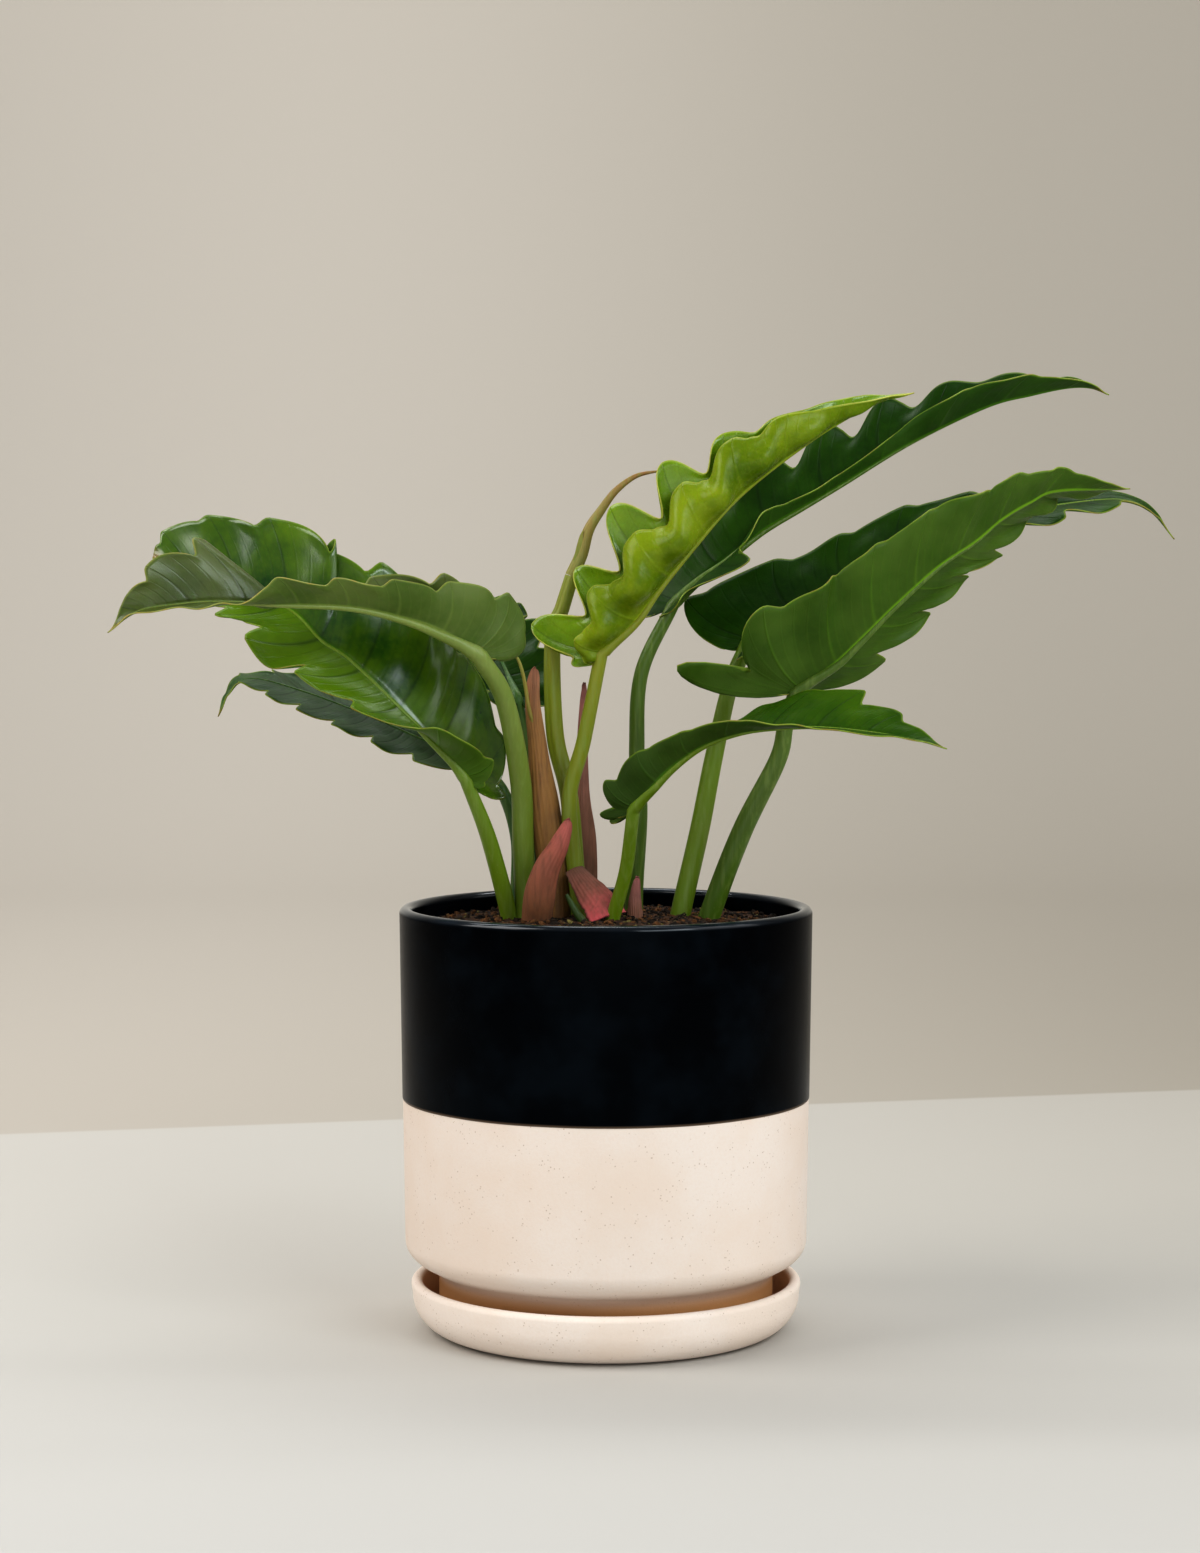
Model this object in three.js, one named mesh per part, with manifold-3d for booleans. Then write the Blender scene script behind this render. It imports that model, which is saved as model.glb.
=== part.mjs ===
// A potted foliage plant: long toothed leaves on stout stalks in a round pot on its saucer.
// Millimetres, +Z up. The origin is the middle of the saucer's underside, and the front faces -Y.

import * as THREE from 'three';
import { mergeVertices } from 'three/addons/utils/BufferGeometryUtils.js';
import Module from 'manifold-3d';

const wasm = await Module();
wasm.setup();

// Driving dimensions
const GAP = 0.3;
const SEGMENTS = 40;
const SAUCER = { radius: 79, height: 19.6, base: 64, bend: 15, wall: 3.4, floor: 5, fillet: 5 };
const POT = {
  rimRadius: 84, rimHeight: 173, lowRadius: 82.2, bend: 14, wall: 5.5, floor: 7, drain: 7, foot: 18,
};
const SOIL = {
  edgeHeight: 165.5, crownHeight: 168, crownReach: 80, rings: [48, 22], bump: 0.7, waveX: 0.21, waveY: 0.17,
};
const ROOTSTOCK = { centre: [0, 21, 147], halfSize: [50, 30, 11], knob: 0.06 };
const BLADE = { thickness: 0.8, ribDepth: 2.2, columns: [0.1, 0.5, 1] };
const STALK_SIDES = 8;
const STALK_RINGS = 8;
const SHEATH_THICKNESS = 1.2;
const SHEATH_STEPS = 8;
const SHEATH_COLUMNS = 4;

// How the rows of a blade leave its midrib, shared by all the leaves
const ROWS = 36;
const ROW_KEYS = [0, 2, 5, 9, 13, 17, 21, 25, 29, 33, 36];
const ROW_STATION = [0, 0, 0.015, 0.12, 0.25, 0.38, 0.51, 0.64, 0.78, 0.91, 1];
const ROW_SWEEP = [-75, -52, -5, 18, 26, 32, 36, 40, 45, 52, 60];
const TOOTH_ROWS = [2, 5, 9, 13, 17, 21, 25, 29, 33];
const SINUS_REACH = 4;
const SKIPPED_ROWS = [1, 3, 35];
const RUFFLE_ROWS = 4;
const RUFFLE_REACH = 30;
const NARROW_REACH = 10;
const RIB_ROWS = [5, 9];

// Each leaf: the points of its midrib, and for each half the reach of its nine teeth, how far the
// half lifts from level in degrees from base to tip, how deep its notches are, and its ruffle
const LEAVES = {
  leaf_01: {
    tone: 'mature',
    midrib: [[-51, -15, 275], [-66, -22, 285], [-82, -30, 291], [-101, -38, 295], [-126, -48, 296],
      [-150, -55, 297], [-165, -60, 296], [-181, -64, 293], [-192, -66, 285]],
    left: {
      reach: [26, 35, 30, 28, 28, 30, 33, 25, 8],
      lift: [78, 44, 26, 26, 40, 80, 80, 72, 60], notch: 0.26, ruffle: 2, phase: 0,
    },
    right: {
      reach: [20, 30, 32, 34, 34, 32, 26, 20, 10],
      lift: [35, 30, 8, -5, -12, -15, -15, -15, -15], notch: 0.28, ruffle: 3, phase: 1,
    },
    stalk: [[-33, 15, 150], [-33, 15, 172], [-34, 12, 199], [-35, 8, 224], [-41, -5, 257], [-51, -15, 275]],
    radii: [4.6, 4.4, 3.6],
  },
  leaf_02: {
    tone: 'mature',
    midrib: [[-59, 2, 224], [-67, 0, 234], [-81, -2, 252], [-103, 0, 273], [-115, 2, 281], [-129, 6, 294],
      [-158, 12, 307], [-186, 18, 315]],
    left: {
      reach: [10, 20, 22, 26, 31, 36, 36, 32, 18],
      lift: [55, 0, -40, -48, -50, -48, -42, -35, -30], notch: 0.28, ruffle: 2, phase: 0,
    },
    right: {
      reach: [24, 45, 47, 42, 38, 38, 36, 32, 20],
      lift: [46, 50, 56, 60, 62, 62, 60, 55, 50], notch: 0.24, ruffle: 3, phase: 1,
    },
    stalk: [[-42, 14, 150], [-44, 14, 168], [-49, 6, 203], [-59, 2, 224]],
    radii: [3.6, 3.4, 2.6],
  },
  leaf_03: {
    tone: 'mature',
    midrib: [[-57, 42, 230], [-78, 40, 240], [-103, 37, 251], [-127, 34, 260], [-147, 32, 265],
      [-156, 30, 260], [-161, 28, 249]],
    left: {
      reach: [10, 20, 25, 27, 27, 25, 20, 12, 4],
      lift: [-20, -30, -30, -30, -30, -20, 0], notch: 0.3, ruffle: 1, phase: 0,
    },
    right: {
      reach: [10, 20, 25, 27, 27, 25, 20, 12, 4],
      lift: [20, 25, 25, 20, 10, 0, 0], notch: 0.3, ruffle: 2, phase: 1,
    },
    stalk: [[-36, 32, 150], [-37, 36, 170], [-37, 40, 197], [-44, 43, 218], [-57, 42, 230]],
    radii: [3.2, 3, 2.4],
  },
  leaf_04: {
    tone: 'mature',
    midrib: [[-37, 38, 256], [-41, 47, 266], [-46, 57, 276], [-52, 73, 284], [-59, 93, 291],
      [-65, 114, 295], [-72, 133, 295]],
    left: {
      reach: [9, 15, 23, 25, 24, 21, 17, 12, 5], lift: [0, 0, 0], notch: 0.3, ruffle: 2, phase: 0,
    },
    right: {
      reach: [11, 19, 24, 25, 24, 21, 17, 12, 5], lift: [10, 18, 25, 25, 10], notch: 0.3, ruffle: 3, phase: 1,
    },
    stalk: [[-27, 40, 150], [-28, 42, 170], [-30, 40, 214], [-37, 38, 256]],
    radii: [3.2, 3, 2.4],
  },
  leaf_06: {
    tone: 'young',
    midrib: [[-2, 4, 275], [11, 2, 288], [21, 0, 302], [35, 0, 319], [50, 2, 336], [65, 4, 349],
      [86, 8, 364], [103, 12, 374], [114, 14, 379], [126, 16, 382]],
    left: {
      reach: [22, 33, 35, 35, 31, 24, 18, 12, 6],
      lift: [60, 70, 75, 78, 78, 72, 60, 40, 15], notch: 0.48, ruffle: 3, phase: 0,
    },
    right: {
      reach: [26, 27, 27, 27, 25, 20, 15, 9, 4],
      lift: [60, 55, 55, 55, 50, 40, 25, 15, 5], notch: 0.4, ruffle: 5, phase: 1,
    },
    stalk: [[-11, 12, 150], [-11, 12, 172], [-15, 10, 214], [-9, 8, 240], [-2, 4, 275]],
    radii: [3.6, 3.2, 2.7],
  },
  leaf_07: {
    tone: 'mature',
    midrib: [[28, 40, 295], [39, 41, 306], [48, 42, 313], [65, 46, 326], [82, 49, 336], [99, 52, 346],
      [129, 56, 364], [161, 60, 379], [180, 62, 384], [195, 62, 387], [205, 62, 387], [213, 62, 384]],
    left: {
      reach: [20, 28, 32, 33, 32, 29, 24, 17, 8],
      lift: [40, 50, 55, 55, 52, 48, 45, 40, 35], notch: 0.34, ruffle: 2, phase: 0,
    },
    right: {
      reach: [10, 18, 20, 22, 25, 26, 23, 17, 8],
      lift: [0, -14, -16, 14, 28, 24, 22, 22, 20], notch: 0.3, ruffle: 2, phase: 1,
    },
    stalk: [[12, 43, 150], [12, 45, 174], [14, 42, 208], [13, 40, 236], [15, 38, 267], [28, 40, 295]],
    radii: [4, 3.4, 2.6],
  },
  leaf_08: {
    tone: 'mature',
    midrib: [[77, 0, 260], [85, -2, 266], [94, -4, 273], [105, -6, 284], [116, -6, 295], [134, -4, 311],
      [149, 0, 321], [160, 4, 330], [172, 8, 337], [184, 12, 342], [215, 18, 343]],
    left: {
      reach: [9, 16, 24, 29, 30, 29, 25, 17, 8],
      lift: [-30, -45, -50, -50, -50, -45, -30, -10], notch: 0.36, ruffle: 2, phase: 0,
    },
    right: {
      reach: [42, 40, 36, 34, 32, 28, 22, 14, 7],
      lift: [50, 55, 55, 55, 52, 50, 45, 40, 30], notch: 0.2, ruffle: 2, phase: 1,
    },
    stalk: [[38, 18, 150], [43, 15, 168], [56, 10, 203], [70, 5, 232], [73, 2, 246], [77, 0, 260]],
    radii: [4.6, 4.2, 3],
  },
  leaf_09: {
    tone: 'mature',
    midrib: [[61, 38, 274], [68, 41, 282], [78, 45, 292], [94, 50, 301], [116, 54, 314], [141, 58, 325],
      [167, 61, 333], [193, 63, 338], [218, 63, 340], [231, 62, 335], [241, 60, 323]],
    left: {
      reach: [10, 38, 34, 28, 26, 25, 23, 17, 8],
      lift: [45, 48, 45, 40, 35, 30, 20, 10], notch: 0.2, ruffle: 2, phase: 0,
    },
    right: {
      reach: [14, 22, 28, 30, 30, 28, 24, 18, 8],
      lift: [0, -10, -20, -25, -25, -20, -10], notch: 0.25, ruffle: 2, phase: 1,
    },
    stalk: [[28, 24, 150], [31, 25, 167], [39, 28, 202], [45, 32, 232], [54, 36, 259], [61, 38, 274]],
    radii: [4.3, 4, 3],
  },
  leaf_10: {
    tone: 'mature',
    midrib: [[11, -18, 213], [18, -24, 222], [25, -28, 230], [38, -36, 240], [54, -44, 246],
      [72, -50, 248], [87, -54, 248], [106, -58, 246], [122, -60, 243], [132, -61, 240]],
    left: {
      reach: [20, 22, 23, 26, 28, 27, 24, 18, 9],
      lift: [45, 42, 40, 36, 34, 32, 28, 20, 10], notch: 0.22, ruffle: 1, phase: 0,
    },
    right: {
      reach: [22, 22, 20, 22, 22, 20, 16, 11, 5],
      lift: [70, 50, 22, 3, -3, -5, -8, -10], notch: 0.22, ruffle: 1, phase: 1,
    },
    stalk: [[0, -2, 150], [2, -4, 165], [8, -10, 188], [11, -18, 213]],
    radii: [2.8, 2.6, 2],
  },
};

// The newest leaf, still rolled into a spear on its stalk
const SPEAR = {
  stalk: [[-12, 21, 150], [-12, 21, 171], [-15, 21, 215], [-21, 23, 242], [-22, 26, 281], [-18, 26, 294],
    [-14, 26, 307]],
  stalkRadii: [4.4, 3.8, 3.6, 2.9],
  roll: [[-14, 26, 307], [-10, 26, 316], [-7, 26, 326], [-2, 26, 334], [4, 26, 342], [12, 26, 348],
    [20, 26, 350], [24, 26, 350]],
  rollRadii: [2.9, 2.4, 1.8, 1.4, 1, 0.6, 0.3],
};

// The papery sheaths that the leaves came out of: the line of each, its width and how it cups
const SHEATHS = {
  sheath_tall_left: {
    path: [[-21, 14, 154], [-21, 14, 172], [-22, 14, 190], [-25, 14, 210], [-28, 13, 237], [-30, 12, 256],
      [-29, 11, 270]],
    width: [10, 10.5, 11, 10, 6, 4.6, 2.4], cup: 150, facing: [0, -1, 0],
  },
  sheath_tall_right: {
    path: [[-9, 34, 154], [-9, 34, 170], [-9, 34, 193], [-8, 33, 212], [-8, 32, 231], [-7, 30, 263]],
    width: [11, 11, 10, 6, 4, 1.6], cup: 120, facing: [0.3, -1, 0],
  },
  sheath_front: {
    path: [[-28, 0, 154], [-28, 0, 166], [-28, -3, 176], [-25, -6, 188], [-20, -8, 198], [-15, -9, 209]],
    width: [11, 12.5, 13.5, 11.5, 8, 2.4], cup: 170, facing: [-0.3, -1, 0],
  },
  sheath_papery: {
    path: [[-14, 4, 158], [-14, 3, 172], [-11, 2, 181], [-3, 1, 180], [2, 2, 175]],
    width: [5, 8, 11, 10, 9], cup: 50, facing: [0, -1, 0.3],
  },
  sheath_small: {
    path: [[12, 8, 156], [12, 8, 168], [12, 8, 176], [13, 8, 184]],
    width: [6, 6, 4.6, 1.6], cup: 120, facing: [0, -1, 0],
  },
};

// A thin dried tendril on the tall left sheath, and a small green shoot beside the front one
const TENDRIL = {
  path: [[-29.5, 11, 246], [-31.5, 9.5, 256], [-33, 8, 265], [-35, 5, 268], [-37, 3, 270], [-40, 1, 271]],
  radii: [0.9, 0.8, 0.7, 0.5],
};
const SHOOT = {
  path: [[-7, -10, 154], [-8, -10, 165], [-12, -8, 171], [-16, -6, 178]],
  radii: [1.6, 1.8, 1.6, 0.8],
};

const FINISHES = {
  glaze: { color: 0x0b0d10, roughness: 0.25, metalness: 0 },
  clay: { color: 0xdccbb6, roughness: 0.75, metalness: 0 },
  soil: { color: 0x33231a, roughness: 1, metalness: 0 },
  rootstock: { color: 0x5a4630, roughness: 0.9, metalness: 0 },
  mature: { color: 0x2f6a1e, roughness: 0.35, metalness: 0 },
  young: { color: 0x9bb028, roughness: 0.35, metalness: 0 },
  stalk: { color: 0x6f9a2c, roughness: 0.45, metalness: 0 },
  sheath: { color: 0x9a5a48, roughness: 0.7, metalness: 0 },
};

const degrees = THREE.MathUtils.degToRad;

// Value at a place between uneven keys, on a smooth curve that does not overshoot them
function keyed(keys, values, at) {
  const place = THREE.MathUtils.clamp(at, keys[0], keys.at(-1));
  let i = 0;
  while (i < keys.length - 2 && place >= keys[i + 1]) i += 1;
  const rise = (j) => (values[j + 1] - values[j]) / (keys[j + 1] - keys[j]);
  const slope = (j) => {
    if (j === 0) return rise(0);
    if (j === keys.length - 1) return rise(j - 1);
    const before = rise(j - 1);
    const after = rise(j);
    return before * after <= 0 ? 0 : (2 * before * after) / (before + after);
  };
  const step = keys[i + 1] - keys[i];
  const x = (place - keys[i]) / step;
  const x2 = x * x;
  const x3 = x2 * x;
  return values[i] * (2 * x3 - 3 * x2 + 1) + slope(i) * step * (x3 - 2 * x2 + x)
    + values[i + 1] * (3 * x2 - 2 * x3) + slope(i + 1) * step * (x3 - x2);
}

function spread(values, at) {
  return keyed(values.map((_, i) => i / (values.length - 1)), values, at);
}

// A curve through given points, with the direction, the upward and the right-hand side along it
class Line {
  constructor(points) {
    this.curve = new THREE.CatmullRomCurve3(
      points.map((p) => new THREE.Vector3(...p)), false, 'catmullrom', 0.5,
    );
  }

  at(share) {
    return this.curve.getPointAt(THREE.MathUtils.clamp(share, 0, 1));
  }

  frame(share, upward = new THREE.Vector3(0, 0, 1)) {
    const reach = 0.01;
    const along = this.at(share + reach).sub(this.at(share - reach)).normalize();
    const up = upward.clone().addScaledVector(along, -upward.dot(along)).normalize();
    return { along, up, side: along.clone().cross(up) };
  }
}

// Closed solids from indexed triangles, their joins and cuts
function solidOf(positions, triangles) {
  const mesh = new wasm.Mesh({
    numProp: 3, vertProperties: new Float32Array(positions), triVerts: new Uint32Array(triangles),
  });
  const solid = new wasm.Manifold(mesh);
  if (solid.volume() >= 0) return solid;
  return solidOf(positions, triangles.map((_, i, all) => all[i - (i % 3) + 2 - (i % 3)]));
}

function solidFromGeometry(geometry) {
  const bare = geometry.clone();
  bare.deleteAttribute('normal');
  bare.deleteAttribute('uv');
  const merged = mergeVertices(bare, 1e-4);
  const index = Array.from(merged.index.array);
  const kept = [];
  for (let i = 0; i < index.length; i += 3) {
    const [a, b, c] = index.slice(i, i + 3);
    if (a !== b && b !== c && c !== a) kept.push(a, b, c);
  }
  return solidOf(Array.from(merged.attributes.position.array), kept);
}

function geometryFrom(solid) {
  const { vertProperties, triVerts, numProp } = solid.getMesh();
  const geometry = new THREE.BufferGeometry();
  const positions = [];
  for (let i = 0; i < vertProperties.length; i += numProp) {
    positions.push(vertProperties[i], vertProperties[i + 1], vertProperties[i + 2]);
  }
  geometry.setAttribute('position', new THREE.Float32BufferAttribute(positions, 3));
  geometry.setIndex(Array.from(triVerts));
  geometry.computeVertexNormals();
  return geometry;
}

// The one big piece that a cut leaves, without loose scraps
function largest(solid) {
  return solid.decompose().reduce((best, piece) => (piece.volume() > best.volume() ? piece : best));
}

function arc(cx, cz, radius, from, to, steps) {
  return Array.from({ length: steps + 1 }, (_, i) => {
    const angle = degrees(from + ((to - from) * i) / steps);
    return new THREE.Vector2(cx + radius * Math.cos(angle), cz + radius * Math.sin(angle));
  });
}

function turned(profile, segments = SEGMENTS) {
  const geometry = new THREE.LatheGeometry(profile, segments);
  geometry.rotateX(Math.PI / 2);
  return solidFromGeometry(geometry);
}

const point = (r, z) => new THREE.Vector2(r, z);

// Saucer: a shallow dish with a bent-up side
function saucer() {
  const { radius, height, base, bend, wall, floor, fillet } = SAUCER;
  const inside = radius - wall;
  const edge = wall / 2;
  return turned([
    point(0, 0),
    ...arc(base, bend, bend, -90, 0, 4),
    ...arc(radius - edge, height - edge, edge, 0, 180, 3),
    ...arc(inside - fillet, floor + fillet, fillet, 0, -90, 2),
    point(0, floor),
  ]);
}

// Pot: a straight tub with a round lower bend, a rolled lip and one drain hole
const potBottom = SAUCER.floor + GAP;
const potFloor = potBottom + POT.floor;
const potFoot = POT.lowRadius - POT.bend;
const potBendTop = potBottom + POT.foot + POT.bend;

function insideRadius(z) {
  const share = (z - potBendTop) / (POT.rimHeight - potBendTop);
  return THREE.MathUtils.lerp(POT.lowRadius, POT.rimRadius, share) - POT.wall;
}

function pot() {
  const lip = POT.wall / 2;
  const inner = POT.bend - POT.wall;
  return turned([
    point(POT.drain, potBottom),
    point(potFoot - 1, potBottom),
    point(potFoot, potBottom + 1),
    ...arc(potFoot, potBendTop, POT.bend, -90, 0, 4),
    ...arc(POT.rimRadius - lip, POT.rimHeight - lip, lip, 0, 180, 4),
    ...arc(potFoot, potBendTop, inner, 0, -90, 2),
    point(potFoot - POT.wall, potFloor),
    point(POT.drain, potFloor),
    point(POT.drain, potBottom),
  ]);
}

// Soil: fills the pot, rises a little to the middle and lies in small waves
function soilBody() {
  const inner = POT.bend - POT.wall - GAP;
  const top = SOIL.edgeHeight;
  const rise = SOIL.crownHeight - top;
  const profile = [
    point(0, potFloor + GAP),
    point(potFoot - POT.wall - GAP, potFloor + GAP),
    point(potFoot - GAP, potBendTop - inner),
    ...arc(potFoot, potBendTop, inner, -45, 0, 1),
    point(insideRadius(top) - GAP, top),
    ...SOIL.rings.map((r) => point(r, top + rise * (1 - r / SOIL.crownReach))),
    point(0, top + rise),
  ];
  const geometry = new THREE.LatheGeometry(profile, SEGMENTS);
  geometry.rotateX(Math.PI / 2);
  const place = geometry.attributes.position;
  for (let i = 0; i < place.count; i += 1) {
    const [x, y, z] = [place.getX(i), place.getY(i), place.getZ(i)];
    const wave = Math.sin(SOIL.waveX * x + 1) * Math.cos(SOIL.waveY * y);
    if (z > top + 0.1) place.setZ(i, z + SOIL.bump * wave);
  }
  return solidFromGeometry(geometry);
}

// Rootstock: the short thick stem under the soil that every stalk grows from
function rootstockBody(grow = 0) {
  const geometry = new THREE.SphereGeometry(1, 14, 7);
  const place = geometry.attributes.position;
  const [cx, cy, cz] = ROOTSTOCK.centre;
  const [hx, hy, hz] = ROOTSTOCK.halfSize;
  for (let i = 0; i < place.count; i += 1) {
    const [x, y, z] = [place.getX(i), place.getY(i), place.getZ(i)];
    const knob = 1 + ROOTSTOCK.knob * Math.sin(9 * x + 2) * Math.cos(7 * y);
    place.setXYZ(i, cx + (hx * knob + grow) * x, cy + (hy * knob + grow) * y, cz + (hz + grow) * z);
  }
  return solidFromGeometry(geometry);
}

// A closed body through rings of the same number of points
function loft(rings) {
  const sides = rings[0].length;
  const positions = rings.flat().flatMap((p) => p.toArray());
  const triangles = [];
  for (let i = 0; i < rings.length - 1; i += 1) {
    for (let k = 0; k < sides; k += 1) {
      const next = (k + 1) % sides;
      const [a, b] = [i * sides + k, i * sides + next];
      triangles.push(a, b, a + sides, b, b + sides, a + sides);
    }
  }
  const last = (rings.length - 1) * sides;
  for (let k = 1; k < sides - 1; k += 1) {
    triangles.push(0, k + 1, k, last, last + k, last + k + 1);
  }
  return solidOf(positions, triangles);
}

// A round stem along a line; grow makes it fatter and longer by the same amount, for its hole
function stem(path, radii, grow = 0) {
  const line = new Line(path);
  const front = new THREE.Vector3(0, -1, 0);
  const stations = Array.from({ length: STALK_RINGS + 1 }, (_, i) => i / STALK_RINGS);
  return loft(stations.map((share) => {
    const { along, up, side } = line.frame(share, front);
    const end = share === 0 ? -grow : share === 1 ? grow : 0;
    const centre = line.at(share).addScaledVector(along, end);
    const radius = spread(radii, share) + grow;
    return Array.from({ length: STALK_SIDES }, (_, k) => {
      const angle = (2 * Math.PI * (k + 0.5)) / STALK_SIDES;
      return centre.clone()
        .addScaledVector(up, radius * Math.cos(angle))
        .addScaledVector(side, radius * Math.sin(angle));
    });
  }));
}

// A thin sheet made solid: rows of points, welded where they meet, given a thickness on both faces
function thickened(rows, halfThickness) {
  const points = [];
  const places = new Map();
  const depth = [];
  const number = rows.map((row, i) => row.map((p, j) => {
    const key = p.toArray().map((v) => v.toFixed(3)).join();
    if (!places.has(key)) {
      places.set(key, points.length);
      points.push(p);
      depth.push(halfThickness(i, j));
    }
    return places.get(key);
  }));
  const faces = [];
  const addFace = (a, b, c) => {
    if (a !== b && b !== c && c !== a) faces.push([a, b, c]);
  };
  for (let i = 0; i < rows.length - 1; i += 1) {
    for (let j = 0; j < rows[0].length - 1; j += 1) {
      const [a, b] = [number[i][j], number[i][j + 1]];
      const [c, d] = [number[i + 1][j + 1], number[i + 1][j]];
      if (j < (rows[0].length - 1) / 2) {
        addFace(a, b, d);
        addFace(b, c, d);
      } else {
        addFace(a, b, c);
        addFace(a, c, d);
      }
    }
  }
  const normals = points.map(() => new THREE.Vector3());
  const edges = new Map();
  for (const [a, b, c] of faces) {
    const ab = points[b].clone().sub(points[a]);
    const normal = ab.cross(points[c].clone().sub(points[a]));
    for (const k of [a, b, c]) normals[k].add(normal);
    for (const [from, to] of [[a, b], [b, c], [c, a]]) {
      if (edges.has(`${to} ${from}`)) edges.delete(`${to} ${from}`);
      else edges.set(`${from} ${to}`, [from, to]);
    }
  }
  normals.forEach((n) => n.normalize());
  const count = points.length;
  const positions = [
    ...points.flatMap((p, k) => p.clone().addScaledVector(normals[k], depth[k].top).toArray()),
    ...points.flatMap((p, k) => p.clone().addScaledVector(normals[k], -depth[k].under).toArray()),
  ];
  const triangles = faces.flatMap(([a, b, c]) => [a, b, c, a + count, c + count, b + count]);
  for (const [from, to] of edges.values()) {
    triangles.push(from, from + count, to, to, from + count, to + count);
  }
  return solidOf(positions, triangles);
}

// How much of the full reach is left at a row: full on a tooth, least in the notch behind it
function toothShare(row, notch) {
  const next = TOOTH_ROWS.find((tooth) => tooth >= row);
  const last = TOOTH_ROWS.filter((tooth) => tooth < row).at(-1);
  if (last === undefined) return 1;
  const past = row - last;
  if (past <= 1) return 1 - notch * past;
  const gap = (next ?? ROWS) - last;
  return 1 - notch * (1 - (past - 1) / (gap - 1)) ** 2;
}

// One row of one half of a blade, as a function of the share of the way out to the edge. A notch
// cuts the reach only beyond the first column, so that the strip beside the midrib stays even,
// and where the blade is narrow it lies flatter and its notches fade
function halfRow(half, sideSign, row, line) {
  const share = keyed(ROW_KEYS, ROW_STATION, row);
  const sweep = degrees(keyed(ROW_KEYS, ROW_SWEEP, row));
  const full = keyed([0, ...TOOTH_ROWS, ROWS], [SINUS_REACH, ...half.reach, 0], row);
  const broad = Math.min(1, full / NARROW_REACH);
  const cut = (1 - toothShare(row, half.notch)) * broad;
  const lift = degrees(spread(half.lift, share)) * broad;
  const { along, up, side } = line.frame(share);
  side.multiplyScalar(sideSign);
  const outward = side.clone().multiplyScalar(Math.cos(lift)).addScaledVector(up, Math.sin(lift));
  const normal = up.clone().multiplyScalar(Math.cos(lift)).addScaledVector(side, -Math.sin(lift));
  const fade = Math.min(1, (ROWS - row) / 8, full / RUFFLE_REACH);
  const wave = half.ruffle * fade * Math.cos((2 * Math.PI * (row - 1 - half.phase)) / RUFFLE_ROWS);
  const root = line.at(share);
  const first = BLADE.columns[0];
  return (out) => {
    const reach = full * out * (1 - (cut * (out - first)) / (1 - first));
    return root.clone()
      .addScaledVector(outward, reach * Math.cos(sweep))
      .addScaledVector(along, reach * Math.sin(sweep))
      .addScaledVector(normal, wave * out * out);
  };
}

// The midrib stands out below the blade: it rises from the base and thins to the tip
function ribDepth(row) {
  const [from, to] = RIB_ROWS;
  return BLADE.ribDepth * THREE.MathUtils.clamp((row - from) / (to - from), 0, 1) * (1 - row / ROWS);
}

function blade(leaf) {
  const line = new Line(leaf.midrib);
  const columns = BLADE.columns;
  const everyRow = Array.from({ length: ROWS + 1 }, (_, row) => row);
  const drawn = everyRow.filter((row) => !SKIPPED_ROWS.includes(row));
  const rows = drawn.map((row) => {
    const left = halfRow(leaf.left, -1, row, line);
    const right = halfRow(leaf.right, 1, row, line);
    const root = line.at(keyed(ROW_KEYS, ROW_STATION, row));
    return [...columns.toReversed().map(left), root, ...columns.map(right)];
  });
  const half = BLADE.thickness / 2;
  const middle = columns.length;
  return thickened(rows, (i, column) => {
    const rib = column === middle ? ribDepth(drawn[i]) : 0;
    return { top: half, under: half + rib };
  });
}

// A papery sheath: a cupped strip that narrows to its tip
function sheath({ path, width, cup, facing }, grow = 0) {
  const line = new Line(path);
  const steps = SHEATH_STEPS;
  const across = SHEATH_COLUMNS;
  const rows = Array.from({ length: steps + 1 }, (_, i) => {
    const share = i / steps;
    const { along, up, side } = line.frame(share, new THREE.Vector3(...facing));
    const foot = line.at(share).addScaledVector(along, share === 0 ? -grow : 0);
    const halfCup = degrees(cup) / 2;
    const radius = spread(width, share) / (2 * Math.sin(halfCup));
    return Array.from({ length: across + 1 }, (_, j) => {
      const angle = (halfCup + grow / radius) * ((2 * j) / across - 1);
      return foot.clone()
        .addScaledVector(side, radius * Math.sin(angle))
        .addScaledVector(up, radius * (Math.cos(angle) - Math.cos(halfCup)));
    });
  });
  const half = SHEATH_THICKNESS / 2 + grow;
  return thickened(rows, () => ({ top: half, under: half }));
}

// Putting the plant together
const plant = new THREE.Group();

function add(name, solid, finish) {
  const mesh = new THREE.Mesh(geometryFrom(solid), new THREE.MeshStandardMaterial(FINISHES[finish]));
  mesh.name = name;
  plant.add(mesh);
}

const stalks = Object.entries(LEAVES).map(([name, leaf]) => [name, leaf.stalk, leaf.radii]);
stalks.push(['leaf_05', SPEAR.stalk, SPEAR.stalkRadii]);

let holes = stem(SHOOT.path, SHOOT.radii, GAP);
for (const [, path, radii] of stalks) holes = holes.add(stem(path, radii, GAP));
for (const shape of Object.values(SHEATHS)) holes = holes.add(sheath(shape, GAP));

add('saucer', saucer(), 'clay');
add('pot', pot(), 'glaze');
add('soil', largest(soilBody().subtract(rootstockBody(GAP)).subtract(holes)), 'soil');
add('rootstock', largest(rootstockBody().subtract(holes)), 'rootstock');

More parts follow.
